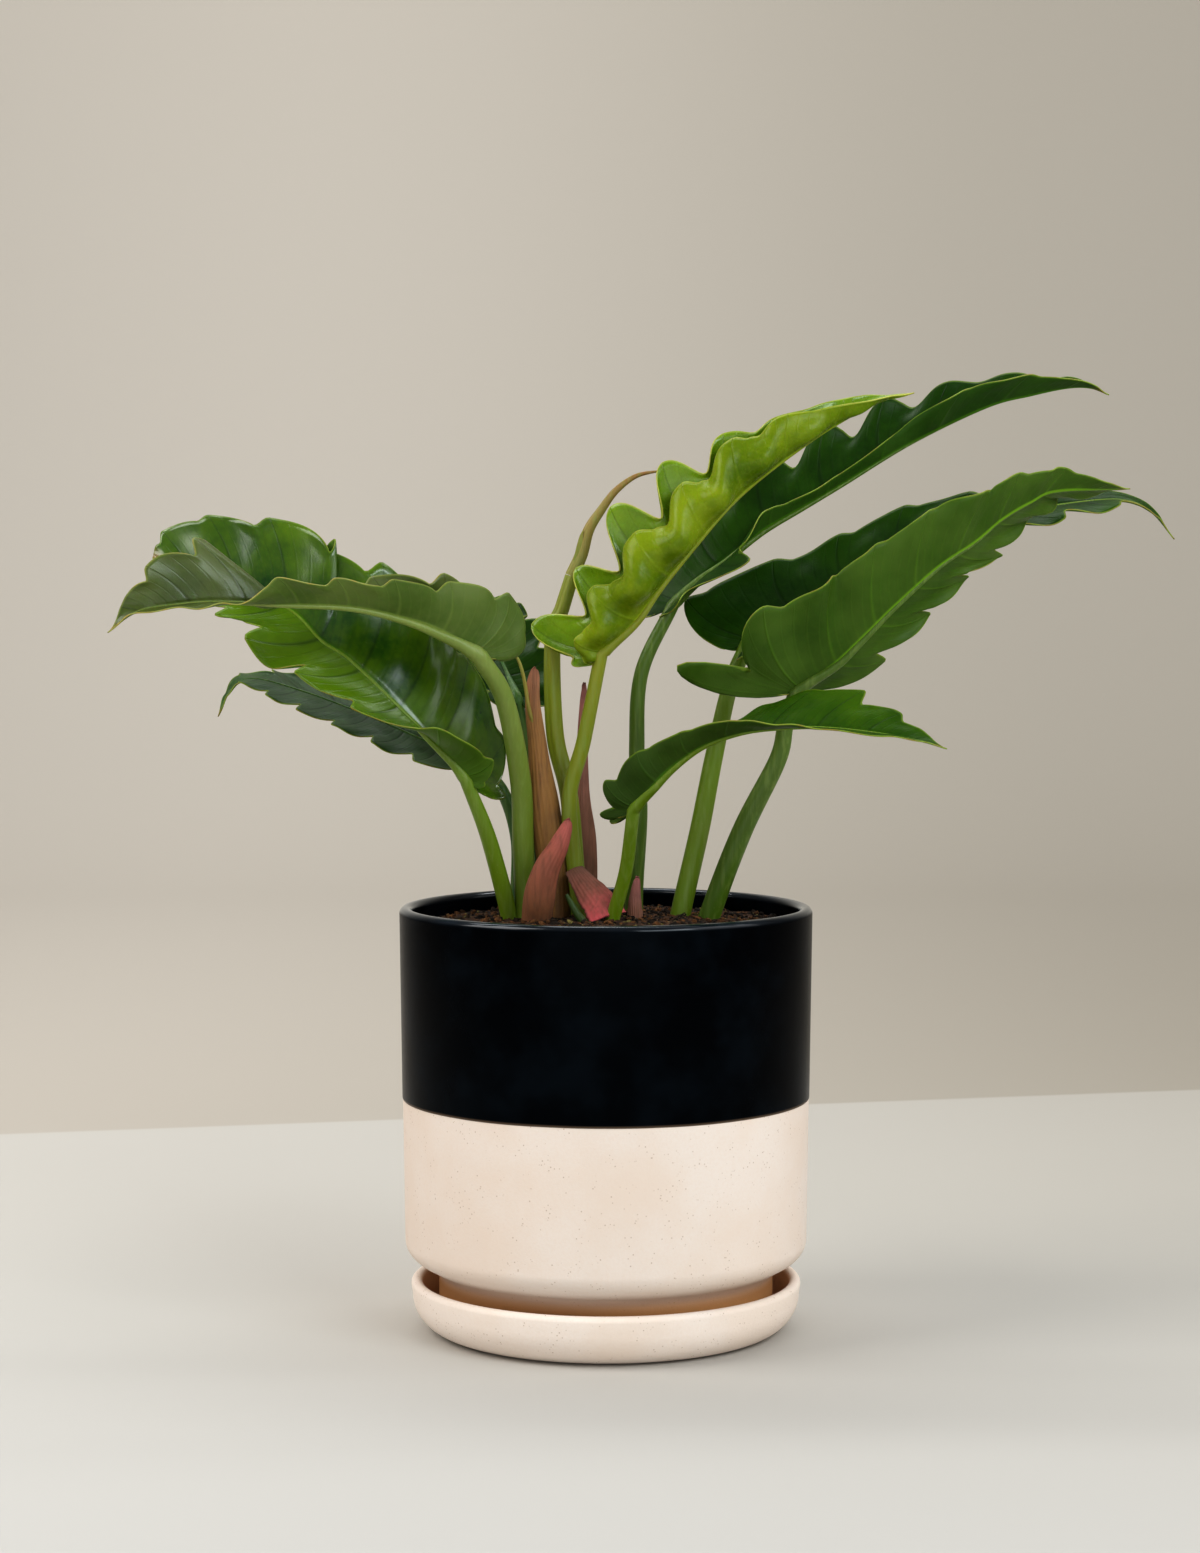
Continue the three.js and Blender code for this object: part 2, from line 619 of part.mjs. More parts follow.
for (const [name, path, radii] of stalks) add(`${name}_stalk`, stem(path, radii), 'stalk');
for (const [name, leaf] of Object.entries(LEAVES)) {
  add(`${name}_blade`, largest(blade(leaf).subtract(stem(leaf.stalk, leaf.radii, GAP))), leaf.tone);
}
const spearStalk = stem(SPEAR.stalk, SPEAR.stalkRadii, GAP);
add('leaf_05_rolled_blade', largest(stem(SPEAR.roll, SPEAR.rollRadii).subtract(spearStalk)), 'young');

for (const [name, shape] of Object.entries(SHEATHS)) {
  const body = sheath(shape);
  const whole = name === 'sheath_tall_left' ? body.add(stem(TENDRIL.path, TENDRIL.radii)) : body;
  add(name, whole, 'sheath');
}
add('small_shoot', stem(SHOOT.path, SHOOT.radii), 'stalk');

export default plant;
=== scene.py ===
"""Looks of a potted philodendron: toothed leaves on stout stalks, in soil, in a half-glazed pot.

Sizes of the plant and the pot are in millimetres, as a grower or a potter would give them, and MM
turns them to metres once, where a mesh gets its points. The studio is in metres. +Z is up, the
front faces -Y, and z = 0 is the underside of the saucer.
"""

import logging
import math
import random
from bisect import bisect_right
from dataclasses import dataclass, field, replace
from enum import Enum
from typing import Callable, Optional, Sequence, Union

import bpy
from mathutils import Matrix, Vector, noise


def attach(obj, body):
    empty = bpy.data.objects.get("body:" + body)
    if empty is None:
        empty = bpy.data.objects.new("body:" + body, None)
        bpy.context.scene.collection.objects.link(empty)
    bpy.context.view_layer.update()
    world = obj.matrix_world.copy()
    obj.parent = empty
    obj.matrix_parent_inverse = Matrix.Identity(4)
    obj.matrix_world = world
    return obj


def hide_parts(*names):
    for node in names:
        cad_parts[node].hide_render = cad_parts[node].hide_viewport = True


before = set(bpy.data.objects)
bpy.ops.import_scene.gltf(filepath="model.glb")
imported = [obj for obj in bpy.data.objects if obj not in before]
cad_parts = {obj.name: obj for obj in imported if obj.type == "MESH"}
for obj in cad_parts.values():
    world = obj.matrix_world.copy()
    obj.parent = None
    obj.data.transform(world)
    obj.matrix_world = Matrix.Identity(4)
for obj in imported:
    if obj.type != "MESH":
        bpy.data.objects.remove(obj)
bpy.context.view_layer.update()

LOG = logging.getLogger("plant")
MM = 0.001
BODY = "root"
FRONT = Vector((0, -1, 0))
FULL_TURN = 2 * math.pi

# Rows of a blade from base to tip. Main veins run to a tooth every 4 rows, from row 5 on.
ROWS = 36
FIRST_VEIN_ROW = 5
TOOTH_PITCH = 4

Point = tuple[float, float, float]
Colour = tuple[float, float, float]
Placed = tuple[Vector, dict[str, float]]


class Slot(Enum):
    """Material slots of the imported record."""

    BARE_CLAY = "bare_clay"
    POT_GLAZE = "pot_glaze"
    SOIL = "potting_soil"
    ROOTSTOCK = "rootstock"
    MATURE_LEAF = "mature_leaf"
    YOUNG_LEAF = "young_leaf"
    STALK = "stalk"
    SHEATH = "sheath"


class Side(Enum):
    """The two faces of a blade."""

    UPPER = "upper"
    UNDER = "under"


# Shader maths


class Value:
    """A number that runs through a material, to which Python's operators add Math nodes."""

    def __init__(self, shader: "Shader", socket: bpy.types.NodeSocket) -> None:
        """Wraps one output socket.

        Args:
            shader: The material that the socket belongs to.
            socket: The output that carries the number.
        """
        self.shader = shader
        self.socket = socket

    def _math(self, operation: str, *terms: "Number") -> "Value":
        """Adds one Math node on the given terms and returns its result."""
        made = self.shader.node("ShaderNodeMath", {"operation": operation}, dict(enumerate(terms)))
        return Value(self.shader, made.outputs[0])

    def __add__(self, other: "Number") -> "Value":
        """Sum."""
        return self._math("ADD", self, other)

    __radd__ = __add__

    def __sub__(self, other: "Number") -> "Value":
        """Difference."""
        return self._math("SUBTRACT", self, other)

    def __rsub__(self, other: "Number") -> "Value":
        """Difference, with the number first."""
        return self._math("SUBTRACT", other, self)

    def __mul__(self, other: "Number") -> "Value":
        """Product."""
        return self._math("MULTIPLY", self, other)

    __rmul__ = __mul__

    def __truediv__(self, other: "Number") -> "Value":
        """Quotient."""
        return self._math("DIVIDE", self, other)

    def __abs__(self) -> "Value":
        """Size without the sign."""
        return self._math("ABSOLUTE", self)

    def rounded(self) -> "Value":
        """Nearest whole number."""
        return self._math("ROUND", self)

    def rise(self, low: float, high: float) -> "Value":
        """Goes smoothly from 0 at low to 1 at high.

        Args:
            low: Where the rise starts.
            high: Where it ends.

        Returns:
            The mask, from 0 to 1.
        """
        made = self.shader.node(
            "ShaderNodeMapRange",
            {"interpolation_type": "SMOOTHSTEP"},
            {"Value": self, "From Min": low, "From Max": high},
        )
        return Value(self.shader, made.outputs[0])

    def rise_mm(self, low: float, high: float) -> "Value":
        """The same for a number in metres and two places in millimetres."""
        return self.rise(low * MM, high * MM)


Number = Union[Value, float]
Paint = Union[bpy.types.NodeSocket, Colour]


class Shader:
    """One material: its node tree, its one node-making method and the patterns in it."""

    def __init__(self, name: str) -> None:
        """Makes the material with a Principled surface.

        Args:
            name: The material's name.
        """
        self.material = bpy.data.materials.new(name)
        self.material.use_nodes = True
        self.tree = self.material.node_tree
        self.tree.nodes.clear()
        self.surface = self.node("ShaderNodeBsdfPrincipled")
        self.node("ShaderNodeOutputMaterial", values={"Surface": self.surface.outputs[0]})
        self.place = self.node("ShaderNodeTexCoord").outputs["Object"]

    def node(
        self,
        kind: str,
        settings: Optional[dict[str, object]] = None,
        values: Optional[dict[Union[str, int], object]] = None,
    ) -> bpy.types.Node:
        """Adds one node.

        Args:
            kind: The node's Blender type.
            settings: Properties to set first; "stops" holds a ramp's places and colours.
            values: For each input, a number, a colour, a Value or a socket to link.

        Returns:
            The new node.
        """
        made = self.tree.nodes.new(kind)
        for key, setting in (settings or {}).items():
            if key == "stops":
                self._set_stops(made.color_ramp, setting)
            else:
                setattr(made, key, setting)
        self._feed(made, values or {})
        return made

    @staticmethod
    def _set_stops(ramp: bpy.types.ColorRamp, stops: Sequence[tuple[float, Colour]]) -> None:
        """Gives a ramp its places and colours."""
        while len(ramp.elements) < len(stops):
            ramp.elements.new(1.0)
        for element, (place, colour) in zip(ramp.elements, stops):
            element.position = place
            element.color = (*colour, 1.0)

    def _feed(self, node: bpy.types.Node, values: dict[Union[str, int], object]) -> None:
        """Links or sets inputs of a node.

        Args:
            node: The node.
            values: For each input, a number, a colour, a Value or a socket to link.
        """
        for key, value in values.items():
            source = value.socket if isinstance(value, Value) else value
            target = node.inputs[key]
            if isinstance(source, bpy.types.NodeSocket):
                self.tree.links.new(source, target)
            elif target.type == "RGBA":
                target.default_value = (*source, 1.0)
            else:
                target.default_value = source

    def axis(self, letter: str) -> Value:
        """One of the piece's own coordinates, X, Y or Z, in metres."""
        parts = self.node("ShaderNodeSeparateXYZ", values={"Vector": self.place})
        return Value(self, parts.outputs[letter])

    def attribute(self, name: str) -> Value:
        """A number stored on the mesh."""
        made = self.node("ShaderNodeAttribute", {"attribute_name": name})
        return Value(self, made.outputs["Fac"])

    def stretched(self, scale: Point) -> bpy.types.NodeSocket:
        """The piece's coordinates with each axis scaled, for patterns that run one way."""
        made = self.node("ShaderNodeMapping", values={"Vector": self.place, "Scale": scale})
        return made.outputs[0]

    def grain(
        self, scale: float, detail: float = 3.0, where: Optional[bpy.types.NodeSocket] = None
    ) -> Value:
        """Cloudy noise.

        Args:
            scale: Features per metre.
            detail: Octaves.
            where: Coordinates, or None for the piece's own.

        Returns:
            The noise, about 0.5 on average.
        """
        made = self.node(
            "ShaderNodeTexNoise",
            values={
                "Vector": where or self.place,
                "Scale": scale,
                "Detail": detail,
                "Roughness": 0.55,
            },
        )
        return Value(self, made.outputs[0])

    def cells(self, scale: float) -> Value:
        """Distance in a cell pattern with the given number of cells per metre."""
        made = self.node("ShaderNodeTexVoronoi", values={"Vector": self.place, "Scale": scale})
        return Value(self, made.outputs["Distance"])

    def mix(self, mask: Number, low: Paint, high: Paint) -> bpy.types.NodeSocket:
        """Blends two colours.

        Args:
            mask: 0 gives low and 1 gives high.
            low: The first colour.
            high: The second colour.

        Returns:
            The blended colour.
        """
        made = self.node("ShaderNodeMix", {"data_type": "RGBA"}, {0: mask, 6: low, 7: high})
        return made.outputs[2]

    def ramp(self, along: Value, stops: Sequence[tuple[float, Colour]]) -> bpy.types.NodeSocket:
        """A colour that changes with a number, through the given stops."""
        return self.node("ShaderNodeValToRGB", {"stops": stops}, {0: along}).outputs[0]

    def dress(
        self,
        base: Paint,
        rough: Number,
        relief: Optional[Value] = None,
        relief_mm: float = 0.0,
        constants: Optional[dict[str, object]] = None,
    ) -> bpy.types.Material:
        """Sets the surface.

        Args:
            base: Base colour.
            rough: Roughness.
            relief: Height pattern, or None.
            relief_mm: Height that relief 1 stands for.
            constants: Further sockets, with numbers or colours that are the same all over.

        Returns:
            The finished material.
        """
        self._feed(self.surface, {"Base Color": base, "Roughness": rough, **(constants or {})})
        if relief is not None:
            height = {"Height": relief, "Distance": relief_mm * MM, "Strength": 1.0}
            made = self.node("ShaderNodeBump", values=height)
            self._feed(self.surface, {"Normal": made.outputs[0]})
        return self.material


# Finishes


@dataclass(frozen=True)
class ClayFinish:
    """Bare cream clay, fired matte, with fine dark specks, and painted brown where water stands,
    as a water stain and as painted shade in the hollow.

    side_fade_mm: Where the stain and painted shade end, from inside to outside of the saucer's
    inner radius.
    floor_fade_mm: Where it starts, above the saucer's inner floor.
    """

    light: Colour = (0.84, 0.745, 0.67)
    warm: Colour = (0.80, 0.66, 0.55)
    speck: Colour = (0.42, 0.29, 0.19)
    stain_and_shade: Colour = (0.56, 0.29, 0.11)
    stain_and_shade_amount: float = 0.85
    side_fade_mm: tuple[float, float] = (-0.6, 1.2)
    floor_fade_mm: tuple[float, float] = (1.5, 4.0)
    roughness: float = 0.78
    shine: float = 0.35
    relief_mm: float = 0.06

    def paint(self, shader: Shader) -> tuple[bpy.types.NodeSocket, Value]:
        """Colour and relief of the clay.

        Args:
            shader: The material to add them to.

        Returns:
            The base colour and the height pattern.
        """
        clouds = shader.grain(22.0, 4.0).rise(0.36, 0.70)
        fine = shader.grain(900.0, 2.0)
        specks = 1.0 - shader.cells(620.0).rise(0.10, 0.24)
        few = shader.grain(160.0, 2.0).rise(0.50, 0.62)
        body = shader.mix(clouds * 0.55, self.light, self.warm)
        body = shader.mix(fine.rise(0.35, 0.75) * 0.22, body, self.warm)
        body = shader.mix(specks * few * 0.55, body, self.speck)
        return body, fine + shader.grain(2600.0, 1.0) * 0.5

    def material(self, inside_mm: float, floor_mm: float) -> bpy.types.Material:
        """The saucer's material, painted brown inside as a water stain and as painted shade.

        Args:
            inside_mm: Radius of its inside.
            floor_mm: Height of its inner floor.

        Returns:
            The material.
        """
        shader = Shader("bare clay")
        base, relief = self.paint(shader)
        x, y = shader.axis("X"), shader.axis("Y")
        # Water stain and painted shade: the saucer's inside, above its floor, is painted brown.
        inner, outer = [((inside_mm + fade) * MM) ** 2 for fade in self.side_fade_mm]
        within = 1.0 - (x * x + y * y).rise(inner, outer)
        above = shader.axis("Z").rise_mm(*[floor_mm + fade for fade in self.floor_fade_mm])
        base = shader.mix(within * above * self.stain_and_shade_amount, base, self.stain_and_shade)
        constants = {"Specular IOR Level": self.shine}
        return shader.dress(base, self.roughness, relief, self.relief_mm, constants)


@dataclass(frozen=True)
class GlazeFinish:
    """Black satin glaze on the upper part of the pot, with bare clay below a level line.

    waver_mm, blur_mm: How far the line wavers and how soft it is.
    edge_mm: Height of the warm edge just above it.
    worn_mm, lip_mm: Depths below the top of the lip where the glaze thins and where it shines.
    stain_and_shade_fade: Where the stain and painted shade above the foot end, as shares of the
    foot's height.
    """

    clay: ClayFinish
    line_mm: float
    black: Colour = (0.0008, 0.0009, 0.0012)
    thin: Colour = (0.012, 0.022, 0.034)
    roughness: float = 0.20
    waver_mm: float = 0.7
    blur_mm: float = 0.12
    edge_mm: float = 1.2
    worn_mm: float = 3.0
    lip_mm: tuple[float, float] = (2.4, 1.0)
    stain_and_shade_fade: tuple[float, float] = (0.74, 1.06)
    stain_and_shade_amount: float = 0.95
    relief_mm: float = 0.22

    def material(self, top_mm: float, foot_mm: float) -> bpy.types.Material:
        """The pot's material.

        Args:
            top_mm: Height of the top of the lip.
            foot_mm: Height where the foot meets the lower bend; the clay below is painted brown, as
                a
            water stain and as painted shade under the bend.

        Returns:
            The material.
        """
        shader = Shader("satin glaze over clay")
        clay, clay_relief = self.clay.paint(shader)
        # Water stain and painted shade: the clay is painted browner towards the bottom of the foot.
        low = 1.0 - shader.axis("Z").rise_mm(*[foot_mm * share for share in self.stain_and_shade_fade])
        clay = shader.mix(low * self.stain_and_shade_amount, clay, self.clay.stain_and_shade)

        height = shader.axis("Z")
        waved = height + (shader.grain(14.0, 2.0) - 0.5) * (self.waver_mm * MM)
        glazed = waved.rise_mm(self.line_mm - self.blur_mm, self.line_mm + self.blur_mm)
        patches = shader.grain(60.0).rise(0.35, 0.7) * 0.5 + 0.3
        worn = height.rise_mm(top_mm - self.worn_mm, top_mm) * patches
        cloud = shader.grain(35.0, 3.0).rise(0.40, 0.75)
        glaze = shader.mix(worn, shader.mix(cloud * 0.18, self.black, self.thin), self.thin)
        edge = glazed * (1.0 - waved.rise_mm(self.line_mm, self.line_mm + self.edge_mm))
        glaze = shader.mix(edge * 0.35, glaze, self.clay.speck)

        satin = self.roughness + shader.grain(300.0, 2.0) * 0.08
        rough = glazed * satin + (1.0 - glazed) * self.clay.roughness
        glaze_relief = shader.grain(220.0, 2.0) * 0.12 + 1.0
        relief = (1.0 - glazed) * clay_relief * 0.25 + glazed * glaze_relief
        constants = {
            "Specular IOR Level": 0.03,
            "Specular Tint": (0.55, 0.78, 1.0),
            "Coat Weight": height.rise_mm(*[top_mm - down for down in self.lip_mm]),
            "Coat Roughness": 0.12,
            "Coat Tint": (0.80, 0.92, 1.0),
        }
        base = shader.mix(glazed, clay, glaze)
        return shader.dress(base, rough, relief, self.relief_mm, constants)


@dataclass(frozen=True)
class SoilFinish:
    """Moist bark and peat: dark and reddish grains with a few pale and yellow-green specks."""

    name: str
    dark: Colour = (0.020, 0.011, 0.007)
    bark: Colour = (0.135, 0.062, 0.030)
    pale: Colour = (0.30, 0.24, 0.10)
    roughness: float = 0.82
    shine: float = 0.25
    relief_mm: float = 0.5

    def material(self, grain_mm: float) -> bpy.types.Material:
        """The material.

        Args:
            grain_mm: Size of the drawn grains.

        Returns:
            The material.
        """
        shader = Shader(self.name)
        per_metre = 1.0 / (grain_mm * MM)
        patches = shader.grain(per_metre * 0.5, 4.0).rise(0.38, 0.66)
        cells = shader.cells(per_metre)
        few = shader.grain(130.0, 1.0).rise(0.52, 0.6)
        specks = (1.0 - shader.cells(per_metre * 0.8).rise(0.10, 0.26)) * few
        base = shader.mix(patches * (1.0 - cells * 0.5), self.dark, self.bark)
        base = shader.mix(specks * 0.8, base, self.pale)
        rough = self.roughness + shader.grain(per_metre, 2.0) * 0.15
        relief = shader.grain(per_metre * 2.0, 3.0) + cells
        constants = {"Specular IOR Level": self.shine}
        return shader.dress(base, rough, relief, self.relief_mm, constants)


@dataclass(frozen=True)
class RootFinish:
    """Brown corky skin of the buried rootstock."""

    dark: Colour = (0.06, 0.035, 0.02)
    light: Colour = (0.17, 0.11, 0.06)
    roughness: float = 0.85
    relief_mm: float = 0.6

    def material(self) -> bpy.types.Material:
        """The material."""
        shader = Shader("rootstock bark")
        streaks = shader.grain(120.0, 4.0, shader.stretched((1.0, 1.0, 3.0)))
        base = shader.mix(streaks.rise(0.35, 0.65), self.dark, self.light)
        return shader.dress(base, self.roughness, streaks, self.relief_mm)


@dataclass(frozen=True)
class LeafFinish:
    """Colours of one leaf: its waxy upper face, its paler underside, its veins and its yellow edge.

    edge_mm, halo_mm: Width of the thin edge, and where the paler band along it starts and ends.
    glow: How much that band shows, against soft clouds of the light colour.
    shine, coat: Reflection of the upper face, and of a further gloss on its right half.
    left_painted_light: How much paler the upper face is painted on its left half, as painted light.
    tip_rows: Rows between which the tip takes its colour.
    """

    name: str
    upper: Colour = (0.010, 0.075, 0.001)
    upper_light: Colour = (0.045, 0.200, 0.002)
    under: Colour = (0.050, 0.130, 0.006)
    under_light: Colour = (0.085, 0.200, 0.012)
    vein: Colour = (0.150, 0.340, 0.010)
    edge: Colour = (0.220, 0.300, 0.020)
    tip: Colour = (0.260, 0.120, 0.020)
    gloss: float = 0.26
    under_rough: float = 0.46
    vein_strength: float = 0.26
    edge_mm: float = 0.7
    halo_mm: tuple[float, float] = (1.0, 14.0)
    glow: float = 0.25
    shine: float = 0.42
    under_shine: float = 0.16
    left_painted_light: float = 0.0
    coat: float = 0.0
    coat_rough: float = 0.2
    tip_rows: tuple[float, float] = (34.2, 36.0)
    relief_mm: float = 0.35

    def _veins(self, shader: Shader) -> tuple[Value, Value]:
        """Masks of the veins that run to the teeth and of the four finer ones between them."""
        place = (shader.attribute("row") - FIRST_VEIN_ROW) * (1 / TOOTH_PITCH)
        taper = 1.15 - shader.attribute("out")
        main = 1.0 - (abs(place - place.rounded()) / taper).rise(0.0, 0.075)
        place = place * 5.0
        fine = 1.0 - (abs(place - place.rounded()) / taper).rise(0.03, 0.22)
        return main, fine

    def face(self, side: Side) -> bpy.types.Material:
        """One face of the blade.

        Args:
            side: Which of the two.

        Returns:
            The material.
        """
        shader = Shader(f"{self.name} {side.value}")
        main, fine = self._veins(shader)
        to_edge = shader.attribute("edge_mm")
        margin = 1.0 - to_edge.rise(self.edge_mm * 0.35, self.edge_mm)
        halo = 1.0 - to_edge.rise(*self.halo_mm)
        clouds = shader.grain(38.0, 4.0).rise(0.34, 0.70)
        mottle = shader.grain(420.0, 3.0)
        if side is Side.UPPER:
            deep, light = self.upper, self.upper_light
            # Painted shade: on the upper face the veins are painted darker, as shade in their
            # creases.
            vein_tint_and_crease_shade, strength = tuple(part * 0.5 for part in deep), 0.5
            rib_mm, rib_paint, rough, shine = 1.2, 0.45, self.gloss, self.shine
            veins = (main * 0.2 + fine * 0.15) * -1.0
        else:
            deep, light = self.under, self.under_light
            vein_tint_and_crease_shade, strength = self.vein, self.vein_strength
            rib_mm, rib_paint, rough, shine = 1.8, 0.95, self.under_rough, self.under_shine
            veins = (main * 0.4 + fine * 0.15) * 1.0
        rib = 1.0 - shader.attribute("rib_mm").rise(0.2, rib_mm)
        constants = {
            "Subsurface Weight": 0.12,
            "Subsurface Radius": (0.3, 1.0, 0.1),
            "Subsurface Scale": 0.002,
            "Specular IOR Level": shine,
        }

        base = shader.mix(clouds * (1.0 - self.glow) + halo * self.glow, deep, light)
        base = shader.mix(mottle.rise(0.35, 0.75) * 0.18, base, light)
        if side is Side.UPPER:
            left = shader.attribute("left")
            # Painted light: the left half of the upper face is painted paler, as if lit through.
            base = shader.mix(left * self.left_painted_light, base, light)
            if self.coat:
                constants["Coat Weight"] = (1.0 - left) * (1.0 - rib) * self.coat
                constants["Coat Roughness"] = self.coat_rough
        fade = 1.15 - shader.attribute("out") * 0.6
        # Veins take their own colour on the underside and painted crease shade on the upper face.
        base = shader.mix((main * 0.75 + fine * 0.22) * strength * fade, base, vein_tint_and_crease_shade)
        base = shader.mix(rib * rib_paint, base, self.vein)
        base = shader.mix(margin * 0.45, base, self.edge)
        base = shader.mix(shader.attribute("row").rise(*self.tip_rows) * 0.8, base, self.tip)
        relief = veins + shader.grain(1500.0, 2.0) * 0.16 + clouds * 0.3
        rough = rough + mottle * 0.10 + margin * 0.12
        return shader.dress(base, rough, relief, self.relief_mm, constants)

    def rim(self) -> bpy.types.Material:
        """The cut edge between the two faces."""
        shader = Shader(f"{self.name} edge")
        blots = shader.grain(260.0, 2.0).rise(0.4, 0.65)
        return shader.dress(shader.mix(blots * 0.6, self.edge, self.tip), 0.5)


@dataclass(frozen=True)
class StalkFinish:
    """A waxy green stalk: its colour at the soil, in the middle and at the blade, with streaks."""

    name: str
    low: Colour
    middle: Colour
    high: Colour
    streak: Colour = (0.260, 0.340, 0.080)
    roughness: float = 0.36
    relief_mm: float = 0.25

    def material(self) -> bpy.types.Material:
        """The material."""
        shader = Shader(self.name)
        stops = [(0.0, self.low), (0.4, self.middle), (0.85, self.high)]
        lines = shader.grain(1.0, 3.0, shader.stretched((620.0, 620.0, 26.0)))
        clouds = shader.grain(45.0, 3.0).rise(0.35, 0.7)
        dots = (1.0 - shader.cells(520.0).rise(0.08, 0.2)) * shader.grain(90.0).rise(0.5, 0.62)
        body = shader.ramp(shader.attribute("along"), stops)
        body = shader.mix(lines.rise(0.42, 0.74) * 0.42, body, self.streak)
        body = shader.mix(clouds * 0.22, body, self.low)
        body = shader.mix(dots * 0.35, body, self.streak)
        constants = {"Subsurface Weight": 0.1, "Subsurface Scale": 0.002}
        return shader.dress(body, self.roughness + lines * 0.14, lines, self.relief_mm, constants)


@dataclass(frozen=True)
class SheathFinish:
    """A dry papery sheath: its colours from foot to tip, with ribs that run along it."""

    name: str
    stops: tuple[tuple[float, Colour], ...]
    streak: Colour = (0.115, 0.055, 0.028)
    edge: Colour = (0.10, 0.045, 0.025)
    roughness: float = 0.58
    relief_mm: float = 0.3

    def material(self) -> bpy.types.Material:
        """The material."""
        shader = Shader(self.name)
        lines = shader.grain(1.0, 4.0, shader.stretched((480.0, 480.0, 34.0)))
        blots = shader.grain(70.0, 4.0).rise(0.45, 0.72)
        margin = abs(shader.attribute("across")).rise(0.86, 1.0)
        body = shader.ramp(shader.attribute("along"), self.stops)
        body = shader.mix(lines.rise(0.42, 0.70) * 0.45, body, self.streak)
        body = shader.mix(blots * 0.40, body, self.streak)
        body = shader.mix(margin * 0.6, body, self.edge)
        rough = self.roughness + lines * 0.25
        relief = lines * 0.5 + shader.attribute("ribs") * 0.3
        constants = {"Subsurface Weight": 0.08, "Subsurface Scale": 0.001}
        return shader.dress(body, rough, relief, self.relief_mm, constants)


# Curves and measured tables


def keyed(keys: Sequence[float], values: Sequence[float], at: float) -> float:
    """Value at a place between uneven keys, on a smooth curve that does not overshoot them.

    Args:
        keys: Rising places.
        values: The value at each.
        at: Where to read.

    Returns:
        The value there.
    """
    place = min(max(at, keys[0]), keys[-1])
    i = min(bisect_right(keys, place), len(keys) - 1) - 1

    def rise(j: int) -> float:
        """Slope of one interval."""
        return (values[j + 1] - values[j]) / (keys[j + 1] - keys[j])

    def slope(j: int) -> float:
        """Slope at one key."""
        if j == 0:
            return rise(0)
        if j == len(keys) - 1:
            return rise(j - 1)
        before, after = rise(j - 1), rise(j)
        return 0.0 if before * after <= 0 else 2 * before * after / (before + after)

    step = keys[i + 1] - keys[i]
    x = (place - keys[i]) / step
    start = values[i] * (2 * x**3 - 3 * x**2 + 1) + slope(i) * step * (x**3 - 2 * x**2 + x)
    return start + values[i + 1] * (3 * x**2 - 2 * x**3) + slope(i + 1) * step * (x**3 - x**2)


def spread(values: Sequence[float], at: float) -> float:
    """Value at a share from 0 to 1 of a list of evenly spaced values."""
    last = len(values) - 1
    return keyed([i / last for i in range(last + 1)], values, at)


def smooth(low: float, high: float, at: float) -> float:
    """Goes smoothly from 0 at low to 1 at high."""
    x = min(max((at - low) / (high - low), 0.0), 1.0)
    return x * x * (3 - 2 * x)


def hump(x: float) -> float:
    """A bell curve that is 1 at 0."""
    return math.exp(-(x**2))


class Line:
    """A smooth curve through given points, read by the share of its length."""

    STEPS = 240
    REACH = 0.01

    def __init__(self, points: Sequence[Point]) -> None:
        """Measures the curve.

        Args:
            points: The points that it passes, in millimetres.
        """
        inner = [Vector(p) for p in points]
        self.points = [2 * inner[0] - inner[1], *inner, 2 * inner[-1] - inner[-2]]
        self.places = [self._curve(i / self.STEPS) for i in range(self.STEPS + 1)]
        self.lengths = [0.0]
        for before, after in zip(self.places, self.places[1:]):
            self.lengths.append(self.lengths[-1] + (after - before).length)

    def _curve(self, share: float) -> Vector:
        """Point at a share of the spans between the given points."""
        spans = len(self.points) - 3
        i = min(int(share * spans), spans - 1)
        t = share * spans - i
        a, b, c, d = self.points[i : i + 4]
        straight = 2 * b + (c - a) * t
        bent = (2 * a - 5 * b + 4 * c - d) * t**2 + (3 * b - a - 3 * c + d) * t**3
        return 0.5 * (straight + bent)

    def at(self, share: float) -> Vector:
        """Point at a share of the length."""
        want = min(max(share, 0.0), 1.0) * self.lengths[-1]
        low = min(bisect_right(self.lengths, want), self.STEPS) - 1
        step = self.lengths[low + 1] - self.lengths[low]
        part = (want - self.lengths[low]) / step if step else 0.0
        return self.places[low].lerp(self.places[low + 1], part)

    def axes(
        self, share: float, upward: Vector = Vector((0, 0, 1))
    ) -> tuple[Vector, Vector, Vector]:
        """Directions along the line, upward and to its right.

        Args:
            share: Share of the length.
            upward: What the upward direction leans towards.

        Returns:
            The three unit vectors.
        """
        along = (self.at(share + self.REACH) - self.at(share - self.REACH)).normalized()
        up = (upward - along * upward.dot(along)).normalized()
        return along, up, along.cross(up)


# Modelling helpers

WELD = 0.005 * MM
TURNED_CREASE = math.radians(50)
TUBE_CREASE = math.radians(60)


def start_fresh() -> None:
    """Leaves edit mode and deselects everything, so that operators act on the new piece."""
    if bpy.context.object and bpy.context.object.mode != "OBJECT":
        bpy.ops.object.mode_set(mode="OBJECT")
    bpy.ops.object.select_all(action="DESELECT")


def edit(*steps: Callable[[], object]) -> None:
    """Runs operators in edit mode on all of the active piece.

    Args:
        steps: The operators to call, in order.
    """
    bpy.ops.object.mode_set(mode="EDIT")
    bpy.ops.mesh.select_all(action="SELECT")
    for step in steps:
        step()
    bpy.ops.object.mode_set(mode="OBJECT")


def weld(threshold: float = WELD) -> None:
    """Merges the vertices that lie on each other."""
    bpy.ops.mesh.remove_doubles(threshold=threshold)


def face_out() -> None:
    """Turns all faces of the piece in edit mode outwards."""
    bpy.ops.mesh.select_all(action="SELECT")
    bpy.ops.mesh.normals_make_consistent(inside=False)


